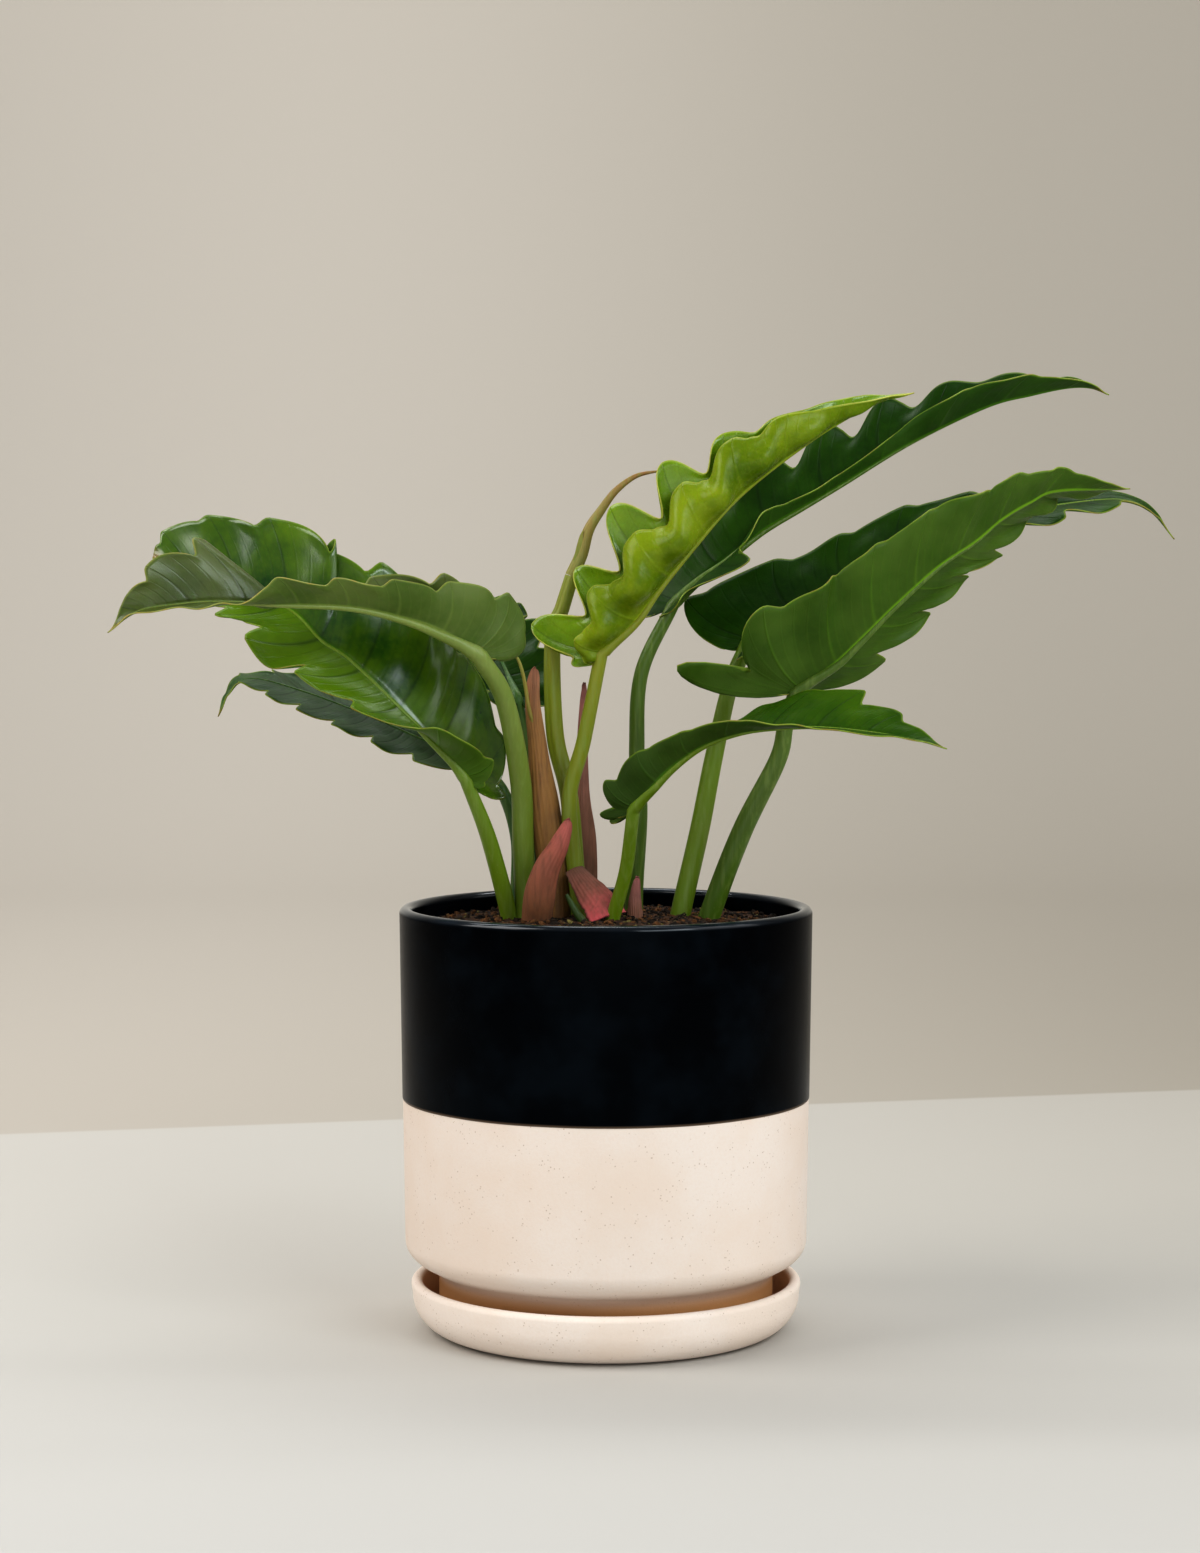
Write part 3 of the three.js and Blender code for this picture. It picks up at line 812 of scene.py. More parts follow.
def thicken(
    piece: bpy.types.Object, wall: float, offset: float = -1.0, next_look: int = 0
) -> None:
    """Gives a sheet its thickness.

    Args:
        piece: The sheet, which is the active object.
        wall: The thickness in millimetres.
        offset: -1 puts it below the sheet and 0 on both sides.
        next_look: 1 where the underside has the second material and the cut edge the third.
    """
    made = piece.modifiers.new("wall", "SOLIDIFY")
    made.thickness = wall * MM
    made.offset = offset
    made.material_offset = next_look
    made.material_offset_rim = 2 * next_look
    bpy.ops.object.modifier_apply(modifier=made.name)


def net(
    name: str, across: int, along: int, place: Callable[[float, float], Placed]
) -> bpy.types.Object:
    """A grid primitive whose vertices are placed by a formula.

    Args:
        name: The piece's name.
        across: Squares from side to side.
        along: Squares from end to end.
        place: Gives, for the shares across and along, the point in millimetres and its numbers.

    Returns:
        The piece, which is the active object.
    """
    start_fresh()
    bpy.ops.mesh.primitive_grid_add(x_subdivisions=across, y_subdivisions=along, size=1.0)
    piece = bpy.context.object
    piece.name = name
    stored: dict[str, list[float]] = {}
    for vertex in piece.data.vertices:
        point, numbers = place(vertex.co.x + 0.5, vertex.co.y + 0.5)
        vertex.co = point * MM
        for key, number in numbers.items():
            stored.setdefault(key, []).append(number)
    for key, column in stored.items():
        layer = piece.data.attributes.new(key, "FLOAT", "POINT")
        layer.data.foreach_set("value", column)
    return piece


def rolled_net(
    name: str, sides: int, rings: int, place: Callable[[float, float], Placed]
) -> bpy.types.Object:
    """A net rolled into a tube, with its seam welded and its two ends filled.

    Args:
        name: The piece's name.
        sides: Faces round it.
        rings: Faces along it.
        place: As in a net, for the share of a turn and the share along.

    Returns:
        The piece, which is the active object.
    """
    piece = net(name, sides, rings, place)
    edit(
        weld,
        lambda: bpy.ops.mesh.select_all(action="DESELECT"),
        bpy.ops.mesh.select_non_manifold,
        bpy.ops.mesh.edge_face_add,
        face_out,
    )
    bpy.ops.object.shade_smooth_by_angle(angle=TUBE_CREASE)
    return piece


def round_section(turn: float) -> float:
    """The share of the radius that a plain round tube has at any turn."""
    return 1.0


def tube(
    name: str,
    points: Sequence[Point],
    radii: Sequence[float],
    rings: int,
    section: Callable[[float], float] = round_section,
) -> bpy.types.Object:
    """A tube along a line.

    Args:
        name: The piece's name.
        points: The points that its centre line passes.
        radii: Its radii from end to end.
        rings: Faces along it.
        section: Gives the share of the radius at a turn from 0 to 1.

    Returns:
        The piece, which is the active object.
    """
    line = Line(points)

    def place(turn: float, share: float) -> Placed:
        """Point of the skin."""
        _, up, side = line.axes(share, FRONT)
        radius = spread(radii, share) * section(turn)
        angle = FULL_TURN * turn
        out = (up * math.cos(angle) + side * math.sin(angle)) * radius
        return line.at(share) + out, {"along": share}

    return rolled_net(name, 32, rings, place)


def hand_over(
    piece: bpy.types.Object, slot: Slot, nodes: Sequence[str], *looks: bpy.types.Material
) -> None:
    """Gives a finished piece its materials and its place in the frame.

    Args:
        piece: The finished piece.
        slot: Its slot in the record; not used.
        nodes: The nodes of the frame that it stands for.
        looks: Its materials; none keeps those it has.
    """
    if looks:
        piece.data.materials.clear()
        for look in looks:
            piece.data.materials.append(look)
    piece.data.name = piece.name
    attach(piece, BODY)
    if nodes:
        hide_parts(*nodes)
    LOG.info("%s: %d faces", piece.name, len(piece.data.polygons))


def arc(
    centre: tuple[float, float],
    radius: float,
    start: float,
    end: float,
    steps: int,
    tall: float = 1.0,
) -> list[tuple[float, float]]:
    """Points of an arc in a section.

    Args:
        centre: Its centre, as distance from the axis and height.
        radius: Its radius.
        start: First angle in degrees, 0 pointing outwards.
        end: Last angle in degrees.
        steps: Number of steps.
        tall: Height as a share of the width.

    Returns:
        The points, as distance from the axis and height.
    """
    x, z = centre
    angles = [math.radians(start + (end - start) * i / steps) for i in range(steps + 1)]
    return [(x + radius * math.cos(a), z + radius * math.sin(a) * tall) for a in angles]


def turned(name: str, section: Sequence[tuple[float, float]], steps: int) -> bpy.types.Object:
    """A body turned from a closed section, as on a potter's wheel.

    Args:
        name: The piece's name.
        section: The outline of the cut wall, as distance from the axis and height in millimetres.
        steps: Steps round the axis.

    Returns:
        The piece, which is the active object.
    """
    start_fresh()
    bpy.ops.mesh.primitive_circle_add(vertices=len(section), radius=1.0, fill_type="NOTHING")
    piece = bpy.context.object
    piece.name = name
    for vertex, (out, height) in zip(piece.data.vertices, section):
        vertex.co = (out * MM, 0.0, height * MM)
    edit(
        lambda: bpy.ops.mesh.spin(steps=steps, angle=FULL_TURN, center=(0, 0, 0), axis=(0, 0, 1)),
        lambda: bpy.ops.mesh.select_all(action="SELECT"),
        weld,
        face_out,
    )
    bpy.ops.object.shade_smooth_by_angle(angle=TURNED_CREASE)
    return piece


# Pot, saucer and soil


@dataclass
class Crockery:
    """The saucer and the pot that stands in it, both turned.

    saucer_bend, saucer_fillet: Radii of the saucer's outer bend and of its inner corner.
    bend, bend_tall: Width of the pot's lower bend and its height as a share of that.
    bend_start: Angle in degrees at which that bend meets the hollow, whose radius is neck.
    foot, foot_round: Height of the foot below the bend, and the rounding of its lower edge.
    glaze_skin, glaze_steps: Thickness of the glaze, and where above its line it is full.
    supports: Places on flat stretches that keep the shading even.
    """

    saucer_radius: float = 79.6
    saucer_height: float = 21.2
    saucer_base: float = 64.0
    saucer_bend: float = 15.0
    saucer_wall: float = 4.8
    saucer_floor: float = 5.0
    saucer_fillet: float = 5.0
    saucer_supports: tuple[float, float] = (62.0, 30.0)
    clearance: float = 0.3
    rim_radius: float = 84.0
    rim_height: float = 173.0
    low_radius: float = 82.2
    bend: float = 14.0
    bend_tall: float = 0.76
    bend_start: float = -64.0
    neck: float = 4.6
    wall: float = 5.5
    floor: float = 7.0
    drain: float = 7.0
    foot: float = 18.0
    foot_round: float = 1.0
    glaze_line: float = 95.2
    glaze_skin: float = 0.22
    glaze_steps: tuple[float, float] = (0.15, 0.8)
    glaze_support: float = 134.0
    steps: int = 144

    @property
    def bottom(self) -> float:
        """Height of the pot's underside."""
        return self.saucer_floor + self.clearance

    @property
    def foot_radius(self) -> float:
        """Radius of the pot's foot."""
        return self.low_radius - self.bend

    @property
    def bend_top(self) -> float:
        """Height where the lower bend of the pot ends."""
        return self.bottom + self.foot + self.bend

    def inside(self, height: float) -> float:
        """Radius of the pot's inside at a height."""
        share = (height - self.bend_top) / (self.rim_height - self.bend_top)
        return self.low_radius + (self.rim_radius - self.low_radius) * share - self.wall

    def saucer(self, clay: ClayFinish) -> None:
        """Turns the saucer.

        Args:
            clay: Its finish.
        """
        floor, fillet = self.saucer_floor, self.saucer_fillet
        edge = self.saucer_wall / 2
        inside = self.saucer_radius - self.saucer_wall
        under_support, floor_support = self.saucer_supports
        section = [
            (0.0, 0.0),
            (under_support, 0.0),
            *arc((self.saucer_base, self.saucer_bend), self.saucer_bend, -90, 0, 14),
            *arc((self.saucer_radius - edge, self.saucer_height - edge), edge, 0, 180, 10),
            *arc((inside - fillet, floor + fillet), fillet, 0, -90, 8),
            (floor_support, floor),
            (0.0, floor),
        ]
        piece = turned("saucer_dish", section, self.steps)
        hand_over(piece, Slot.BARE_CLAY, ["saucer"], clay.material(inside, floor))

    def pot(self, glaze: GlazeFinish) -> None:
        """Turns the pot, with its glaze standing a little proud of the clay.

        Args:
            glaze: Its finish.
        """
        lip, skin, line = self.wall / 2, self.glaze_skin, self.glaze_line
        floor = self.bottom + self.floor
        centre = (self.foot_radius, self.bend_top)
        outer, inner = self.bend - skin, self.bend - self.wall
        under = self.bend_top - outer * self.bend_tall
        slope = (self.rim_radius - self.low_radius) / (self.rim_height - lip - self.bend_top)

        def outside(height: float, glaze_wall: float = 0.0) -> tuple[float, float]:
            """Point of the pot's outside at a height, with the given thickness of glaze."""
            clay = self.low_radius - skin + slope * (height - self.bend_top)
            return clay + glaze_wall, height

        first, full = self.glaze_steps
        corner = (self.foot_radius - self.foot_round, self.bottom + self.foot_round)
        section = [
            (self.drain, self.bottom),
            (self.foot_radius - 1.2, self.bottom),
            *arc(corner, self.foot_round, -90, 0, 4),
            *arc((self.foot_radius + self.neck, under - self.neck), self.neck, 180, 90, 6),
            *arc(centre, outer, self.bend_start, 0, 14, self.bend_tall),
            outside(line - 0.4),
            outside(line),
            outside(line + first, skin * 0.8),
            outside(line + full, skin),
            outside(self.glaze_support, skin),
            *arc((self.rim_radius - lip, self.rim_height - lip), lip, 0, 180, 14),
            *arc(centre, inner, 0, -90, 8, self.bend_tall),
            (self.foot_radius - self.wall, self.bend_top - inner * self.bend_tall),
            (self.foot_radius - self.wall, floor),
            (self.drain, floor),
        ]
        piece = turned("pot_body", section, self.steps)
        hand_over(piece, Slot.POT_GLAZE, ["pot"], glaze.material(self.rim_height, under))


@dataclass
class SoilBed:
    """The soil: a body that fills the pot, a rough surface, and loose crumbs on it.

    edge_height, crown_height, crown_reach: Its height at the pot and in the middle, and how wide
        the raised part is.
    lump_height, lump_scale: Height of the lumps and how many there are in a millimetre.
    sunk: How far the whole surface lies below those heights.
    bed_grain, crumb_grain: Size of the grains that the finishes draw.
    crumb_size: Smallest radius of a crumb and what may come on top.
    crumb_dents: Depth of its dents as a share of the radius.
    rim_gap: How far crumbs keep from the pot.
    """

    crockery: Crockery
    edge_height: float = 165.5
    crown_height: float = 168.0
    crown_reach: float = 80.0
    lump_height: float = 1.1
    lump_scale: float = 0.22
    sunk: float = 0.4
    bed_grain: float = 2.2
    crumb_grain: float = 1.2
    crumb_size: tuple[float, float] = (0.40, 1.1)
    crumb_dents: float = 0.45
    rim_gap: float = 1.6
    rings: int = 46
    steps: int = 144
    crumbs: int = 2600
    seed: int = 11

    def height(self, x: float, y: float) -> float:
        """Height of the surface at a place.

        Args:
            x: Place to the right, in millimetres.
            y: Place to the back.

        Returns:
            The height in millimetres.
        """
        share = max(0.0, 1 - math.hypot(x, y) / self.crown_reach)
        rise = (self.crown_height - self.edge_height) * share
        lumps = noise.fractal(Vector((x, y, 3.0)) * self.lump_scale, 0.9, 2.1, 4)
        return self.edge_height + rise + self.lump_height * lumps - self.sunk

    def bed(self, finish: SoilFinish) -> None:
        """Turns the body and roughens its surface.

        Args:
            finish: The finish.
        """
        pot = self.crockery
        inner = pot.bend - pot.wall - pot.clearance
        floor = pot.bottom + pot.floor + pot.clearance
        foot = pot.foot_radius - pot.wall - pot.clearance
        edge = pot.inside(self.edge_height) - pot.clearance
        section = [
            (0.0, floor),
            (foot, floor),
            (foot, pot.bend_top - inner * pot.bend_tall),
            *arc((pot.foot_radius, pot.bend_top), inner, -60, 0, 4, pot.bend_tall),
            *[(edge * (1 - i / self.rings), self.edge_height) for i in range(self.rings + 1)],
        ]
        piece = turned("soil_bed", section, self.steps)
        for vertex in piece.data.vertices:
            if vertex.co.z > (self.edge_height - 0.1) * MM:
                vertex.co.z = self.height(vertex.co.x / MM, vertex.co.y / MM) * MM
        piece.data.update()
        hand_over(piece, Slot.SOIL, ["soil"], finish.material(self.bed_grain))

    def _crumb(self) -> bpy.types.Object:
        """Models the one lumpy crumb that all are copied from."""
        start_fresh()
        bpy.ops.mesh.primitive_uv_sphere_add(segments=7, ring_count=4, radius=1.0)
        crumb = bpy.context.object
        for vertex in crumb.data.vertices:
            vertex.co *= 1.0 + self.crumb_dents * noise.noise(vertex.co * 1.7)
        return crumb

    def loose(self, kinds: Sequence[tuple[SoilFinish, int]]) -> None:
        """Scatters copies of one crumb and joins them in one piece.

        Args:
            kinds: Each kind of crumb with how common it is.
        """
        rng = random.Random(self.seed)
        first = self._crumb()
        for finish, _ in kinds:
            first.data.materials.append(finish.material(self.crumb_grain))
        weights = [weight for _, weight in kinds]
        least, more = self.crumb_size
        reach = self.crockery.inside(self.edge_height) - self.rim_gap
        copies = []
        for _ in range(self.crumbs):
            out = reach * math.sqrt(rng.random())
            turn = rng.uniform(0, FULL_TURN)
            x, y = out * math.cos(turn), out * math.sin(turn)
            size = least + more * rng.random() ** 3
            shape = [size * rng.uniform(*ends) for ends in ((0.9, 2.0), (0.6, 1.1), (0.5, 0.9))]
            copy = first.copy()
            copy.data = first.data.copy()
            copy.location = Vector((x, y, self.height(x, y) + size * 0.25)) * MM
            tilts = ((-0.5, 0.5), (-0.5, 0.5), (0, 6.28))
            copy.rotation_euler = [rng.uniform(*ends) for ends in tilts]
            copy.scale = [length * MM for length in shape]
            kind = rng.choices(range(len(kinds)), weights)[0]
            copy.data.polygons.foreach_set("material_index", [kind] * len(copy.data.polygons))
            bpy.context.collection.objects.link(copy)
            copies.append(copy)
        bpy.data.objects.remove(first)
        start_fresh()
        for copy in copies:
            copy.select_set(True)
        bpy.context.view_layer.objects.active = copies[0]
        bpy.ops.object.join()
        bpy.ops.object.transform_apply(location=True, rotation=True, scale=True)
        piece = bpy.context.object
        piece.name = "soil_crumbs"
        hand_over(piece, Slot.SOIL, [])


CRUMBS = (
    (SoilFinish("peat crumb", dark=(0.012, 0.008, 0.005), bark=(0.045, 0.024, 0.012)), 10),
    (SoilFinish("bark crumb", dark=(0.060, 0.026, 0.010), bark=(0.24, 0.105, 0.035)), 7),
    (SoilFinish("pale crumb", dark=(0.13, 0.10, 0.03), bark=(0.30, 0.25, 0.08)), 1),
)


# Leaves

# Tables over the rows of a blade: where on the midrib a row starts, as a share, and the angle in
# degrees that it is swept towards the tip.
ROW_KEYS = (0, 2, 5, 9, 13, 17, 21, 25, 29, 33, 36)
ROW_STATION = (0, 0, 0.015, 0.12, 0.25, 0.38, 0.51, 0.64, 0.78, 0.91, 1)
ROW_SWEEP = (-75, -52, -5, 18, 26, 32, 36, 40, 45, 52, 60)
TOOTH_ROWS = (2, 5, 9, 13, 17, 21, 25, 29, 33)

# Reach in millimetres of the blade at its very base, and below which it gets flatter, less notched,
# less waved and less grooved.
SINUS_REACH = 4.0
NARROW_REACH = 10.0
RUFFLE_REACH = 30.0
GROOVE_REACH = 20.0

# Share of the reach beside the midrib that no notch cuts, how evenly the columns are spaced (1 is
# even), the angle in radians that every section turns through, and the rows before the tip over
# which the waves die away.
UNCUT_SHARE = 0.1
EVEN_COLUMNS = 0.35
LEAST_CURL = 0.15
TIP_ROWS = 8

# Millimetres: height of the swelling between the finest veins and of the ripple at the margin, and
# the groove over the midrib. VEIN_BOW says how far veins bow to the base, as a share of the reach.
FINE_SWELL = 0.072
RIPPLE = 0.35
GROOVE_DEPTH, GROOVE_WIDTH = 0.5, 1.3
VEIN_BOW = 0.4


@dataclass(frozen=True)
class Half:
    """One half of a blade.

    reach: Reach of its nine teeth in millimetres.
    lift: Angle in degrees above the level, from base to tip.
    notch: Depth of the notch behind each tooth, as a share of the reach.
    curl: Further angle that the section turns through towards the margin, from base to tip.
    ruffle, phase: Height of the margin's wave and its place in rows.
    lobed: 0 for saw teeth and 1 for round lobes.
    quilt: How far the blade swells up between its main veins; below 0 it swells down.
    """

    reach: tuple[float, ...]
    lift: tuple[float, ...]
    notch: tuple[float, ...]
    curl: tuple[float, ...] = (0, 0)
    ruffle: float = 2.0
    phase: float = 0.0
    lobed: float = 0.0
    quilt: float = 1.2


@dataclass(frozen=True)
class Leaf:
    """One leaf: its midrib, its two halves, and its stalk with its radii.

    turn: Further angle in degrees that the rows at the base are swept towards the tip.
    """

    name: str
    midrib: tuple[Point, ...]
    left: Half
    right: Half
    stalk: tuple[Point, ...]
    radii: tuple[float, ...]
    finish: LeafFinish
    stem_finish: StalkFinish
    slot: Slot = Slot.MATURE_LEAF
    turn: float = 0.0


def tooth_cut(row: float, lobed: float) -> tuple[int, float]:
    """Which notch a row is in, and how deep the margin is cut there.

    Args:
        row: The row.
        lobed: 0 for saw teeth and 1 for round lobes.

    Returns:
        The number of the tooth before the notch, and the depth: 0 on a tooth, 1 at the bottom.
    """
    tooth = bisect_right(TOOTH_ROWS, row) - 1
    if tooth < 0:
        return 0, 0.0
    gap = (*TOOTH_ROWS, ROWS)[tooth + 1] - TOOTH_ROWS[tooth]
    past = row - TOOTH_ROWS[tooth]
    saw = smooth(0.0, 1.0, past) if past <= 1 else (1 - (past - 1) / (gap - 1)) ** 2
    lobe = hump((past / gap - 0.5) / (0.10 + 0.14 * lobed))
    return tooth, saw + (lobe - saw) * lobed


def swelling(rows: float) -> float:
    """A soft wave from 0 to 1 and back, once in every unit."""
    return 0.5 - 0.5 * math.cos(FULL_TURN * rows)


@dataclass
class LeafMaker:
    """Models one leaf: the blade as a formed sheet, and the stalk that runs on as its midrib.

    stalk_share: The share of the stem's rings that are on the stalk.
    rib_reach: How far the midrib runs, as a share of the blade.
    """

    leaf: Leaf
    seed: float
    across: int = 48
    along: int = 180
    thickness: float = 0.5
    weld_mm: float = 0.02
    stem_sides: int = 24
    stem_rings: int = 150
    stalk_share: float = 0.5
    stalk_groove: float = 0.16
    rib_reach: float = 0.97
    line: Line = field(init=False)

    def __post_init__(self) -> None:
        """Measures the midrib."""
        self.line = Line(self.leaf.midrib)

    def _relief(self, half: Half, sign: float, row: float, out: float, full: float) -> float:
        """Height of the blade's waves over its plain form.

        Args:
            half: The half of the blade.
            sign: -1 on the left and 1 on the right.
            row: The row.
            out: 0 at the midrib and 1 at the margin.
            full: Reach of the uncut row.

        Returns:
            The height in millimetres.
        """
        fade = min(1.0, (ROWS - row) / TIP_ROWS, full / RUFFLE_REACH)
        wave = half.ruffle * math.cos(FULL_TURN * (row - 1 - half.phase) / TOOTH_PITCH)
        pocket = half.quilt * swelling((row - FIRST_VEIN_ROW) / TOOTH_PITCH)
        fine = FINE_SWELL * swelling(row - FIRST_VEIN_ROW)
        between = math.sin(math.pi * min(1.0, out * 1.1)) ** 2
        ripple = RIPPLE * out**4 * math.sin(2.1 * row + self.seed * 3 + sign)
        return fade * (wave * out * out + between * (pocket + fine) + ripple)

    def point(self, side_share: float, row_share: float) -> Placed:
        """Point of the blade's upper face.

        Args:
            side_share: 0 at the left margin, 0.5 at the midrib, 1 at the right margin.
            row_share: 0 at the base and 1 at the tip.

        Returns:
            The point in millimetres and the numbers that the finish reads.
        """
        signed = 2 * side_share - 1
        sign = -1.0 if signed < 0 else 1.0
        half = self.leaf.left if signed < 0 else self.leaf.right
        out = EVEN_COLUMNS * abs(signed) + (1 - EVEN_COLUMNS) * signed * signed
        row = row_share * ROWS
        share = keyed(ROW_KEYS, ROW_STATION, row)
        sweep = math.radians(keyed(ROW_KEYS, ROW_SWEEP, row) + self.leaf.turn * (1 - share))

        full = keyed((0, *TOOTH_ROWS, ROWS), (SINUS_REACH, *half.reach, 0), row)
        broad = min(1.0, full / NARROW_REACH)
        tooth, depth = tooth_cut(row, half.lobed)
        cut = spread(half.notch, tooth / (len(TOOTH_ROWS) - 1)) * depth * broad
        width = full * (1 - cut * max(0.0, out - UNCUT_SHARE) / (1 - UNCUT_SHARE))
        reach = width * out
        margin = full * (1 - cut)
        bow = VEIN_BOW * margin * out * (1 - out) * broad

        along, up, side = self.line.axes(share)
        side = side * sign
        lift = math.radians(spread(half.lift, share)) * broad
        curl = math.radians(spread(half.curl, share)) * broad + LEAST_CURL
        end = lift + curl * out
        level = (math.sin(end) - math.sin(lift)) / curl
        rise = (math.cos(lift) - math.cos(end)) / curl
        normal = up * math.cos(end) - side * math.sin(end)
        groove = GROOVE_DEPTH * min(1.0, full / GROOVE_REACH) * hump(reach / GROOVE_WIDTH)
        height = self._relief(half, sign, row, out, full) - groove

        place = self.line.at(share) + (side * level + up * rise) * (width * math.cos(sweep))
        place += along * (reach * math.sin(sweep) - bow) + normal * height
        numbers = {"row": row, "out": out, "rib_mm": reach, "edge_mm": max(0.0, margin - reach)}
        return place, {**numbers, "left": float(signed < 0)}

    def blade(self) -> None:
        """Models the blade: a formed sheet, thickened downwards, with face and edge finishes."""
        leaf = self.leaf
        piece = net(f"{leaf.name}_lamina", self.across, self.along, self.point)
        edit(lambda: weld(self.weld_mm * MM))
        bpy.ops.object.shade_smooth()
        for look in (leaf.finish.face(Side.UPPER), leaf.finish.face(Side.UNDER), leaf.finish.rim()):
            piece.data.materials.append(look)
        thicken(piece, self.thickness, next_look=1)
        hand_over(piece, leaf.slot, [f"{leaf.name}_blade"])

    def _rib(self, at: float) -> tuple[Vector, Vector, Vector, float]:
        """Centre, two directions and radius of the midrib, which sinks under the blade.

        Args:
            at: Share of its length.

        Returns:
            The centre, upward, sideways and the radius.
        """
        along, blade_up, _ = self.line.axes(at * self.rib_reach)
        up = self.line.axes(0.0, FRONT)[1].lerp(blade_up, smooth(0.0, 0.10, at))
        up = (up - along * up.dot(along)).normalized()
        radius = self.leaf.radii[-1] * (0.4 + 0.6 * math.exp(-at / 0.1)) * (1 - at) ** 0.8 + 0.15
        sunk = blade_up * radius * 0.95 * smooth(0.02, 0.16, at)
        return self.line.at(at * self.rib_reach) - sunk, up, along.cross(up), radius

    def stem(self) -> None:
        """Models the stalk and, in one piece with it, the midrib that thins out under the blade."""
        leaf, split = self.leaf, self.stalk_share
        stalk = Line(leaf.stalk)

        def place(turn: float, share: float) -> Placed:
            """Point of the skin, first on the stalk and then on the midrib."""
            if share <= split:
                at = share / split
                _, up, side = stalk.axes(at, FRONT)
                centre, radius = stalk.at(at), spread(leaf.radii, at)
                groove = self.stalk_groove * hump((turn - 0.5) * FULL_TURN / 0.5)
            else:
                centre, up, side, radius = self._rib((share - split) / (1 - split))
                groove = 0.0
            x, y = math.cos(FULL_TURN * turn), math.sin(FULL_TURN * turn)
            wobble = 0.02 * noise.noise(Vector((share * 9, x, y + leaf.radii[0])))
            skin = radius * (1 + wobble - groove)
            return centre + up * (skin * x) + side * (skin * y), {"along": min(1.0, share / split)}

        piece = rolled_net(f"{leaf.name}_stem", self.stem_sides, self.stem_rings, place)
        hand_over(piece, Slot.STALK, [f"{leaf.name}_stalk"], leaf.stem_finish.material())


GREY_GREEN = LeafFinish(
    "grey-green leaf",
    upper=(0.060, 0.088, 0.012),
    upper_light=(0.124, 0.156, 0.036),
    under=(0.070, 0.120, 0.016),
    under_light=(0.140, 0.190, 0.045),
    vein=(0.240, 0.310, 0.070),
    edge=(0.300, 0.320, 0.070),
    tip=(0.420, 0.260, 0.030),
    under_rough=0.42,
)
BRIGHT_GREEN = LeafFinish(
    "bright glossy leaf",
    upper=(0.007, 0.050, 0.001),
    upper_light=(0.110, 0.200, 0.001),
    under=(0.060, 0.125, 0.008),
    under_light=(0.090, 0.170, 0.014),
    vein=(0.120, 0.320, 0.008),
    gloss=0.20,
    glow=0.35,
    shine=0.25,
    left_painted_light=0.6,
    coat=0.9,
)
BLUISH = LeafFinish(
    "bluish leaf",
    upper=(0.016, 0.056, 0.006),
    upper_light=(0.055, 0.120, 0.026),
    under=(0.045, 0.115, 0.026),
    under_light=(0.090, 0.170, 0.060),
    vein=(0.160, 0.260, 0.080),
    gloss=0.42,
    shine=0.3,
)
DARK_GREEN = LeafFinish(
    "dark leaf",
    upper=(0.007, 0.033, 0.000),
    upper_light=(0.024, 0.076, 0.001),
    under=(0.020, 0.062, 0.003),
    under_light=(0.044, 0.108, 0.009),
    vein=(0.080, 0.200, 0.008),
    gloss=0.32,
    shine=0.14,
    vein_strength=0.18,
)
FRONT_GREEN = replace(
    DARK_GREEN,
    name="small front leaf",
    upper=(0.018, 0.062, 0.001),
    upper_light=(0.052, 0.118, 0.001),
    under=(0.030, 0.066, 0.006),
    under_light=(0.055, 0.105, 0.012),
)
YOUNG = LeafFinish(
    "young leaf",
    upper=(0.105, 0.200, 0.001),
    upper_light=(0.235, 0.370, 0.004),
    under=(0.085, 0.150, 0.001),
    under_light=(0.270, 0.340, 0.012),
    vein=(0.360, 0.460, 0.030),
    edge=(0.480, 0.500, 0.080),
    tip=(0.380, 0.300, 0.040),
    gloss=0.22,
    under_rough=0.22,
    vein_strength=0.12,
    shine=0.6,
)
BROAD_GREEN = LeafFinish(
    "broad leaf",
    under=(0.037, 0.086, 0.003),
    under_light=(0.076, 0.138, 0.014),
    vein=(0.170, 0.340, 0.012),
    edge=(0.240, 0.320, 0.030),
    under_rough=0.38,
    vein_strength=0.15,
)

OLIVE_STALK = StalkFinish(
    "olive stalk", (0.120, 0.210, 0.004), (0.170, 0.240, 0.020), (0.220, 0.280, 0.060)
)
DARK_STALK = StalkFinish(
    "dark stalk", (0.040, 0.120, 0.004), (0.040, 0.130, 0.008), (0.050, 0.140, 0.012)
)
LIME_STALK = StalkFinish(
    "lime stalk", (0.155, 0.260, 0.001), (0.160, 0.250, 0.001), (0.140, 0.225, 0.003)
)
GREEN_STALK = StalkFinish(
    "green stalk", (0.075, 0.160, 0.002), (0.085, 0.155, 0.008), (0.085, 0.150, 0.012)
)
YELLOW_STALK = StalkFinish(
    "yellow stalk", (0.150, 0.240, 0.003), (0.210, 0.250, 0.006), (0.260, 0.280, 0.016)
)
ROLL_TOOTH = StalkFinish(
    "rolled blade tooth", (0.26, 0.26, 0.03), (0.28, 0.30, 0.04), (0.3, 0.3, 0.05)
)
ROLLED_BLADE = StalkFinish(
    "rolled blade", (0.300, 0.280, 0.060), (0.330, 0.240, 0.060), (0.300, 0.140, 0.045)
)
TENDRIL = StalkFinish("tendril", (0.26, 0.20, 0.04), (0.36, 0.30, 0.06), (0.40, 0.36, 0.09))
SHOOT = StalkFinish(
    "shoot",
    (0.03, 0.05, 0.004),
    (0.03, 0.06, 0.004),
    (0.03, 0.07, 0.004),
    streak=(0.04, 0.08, 0.008),
)

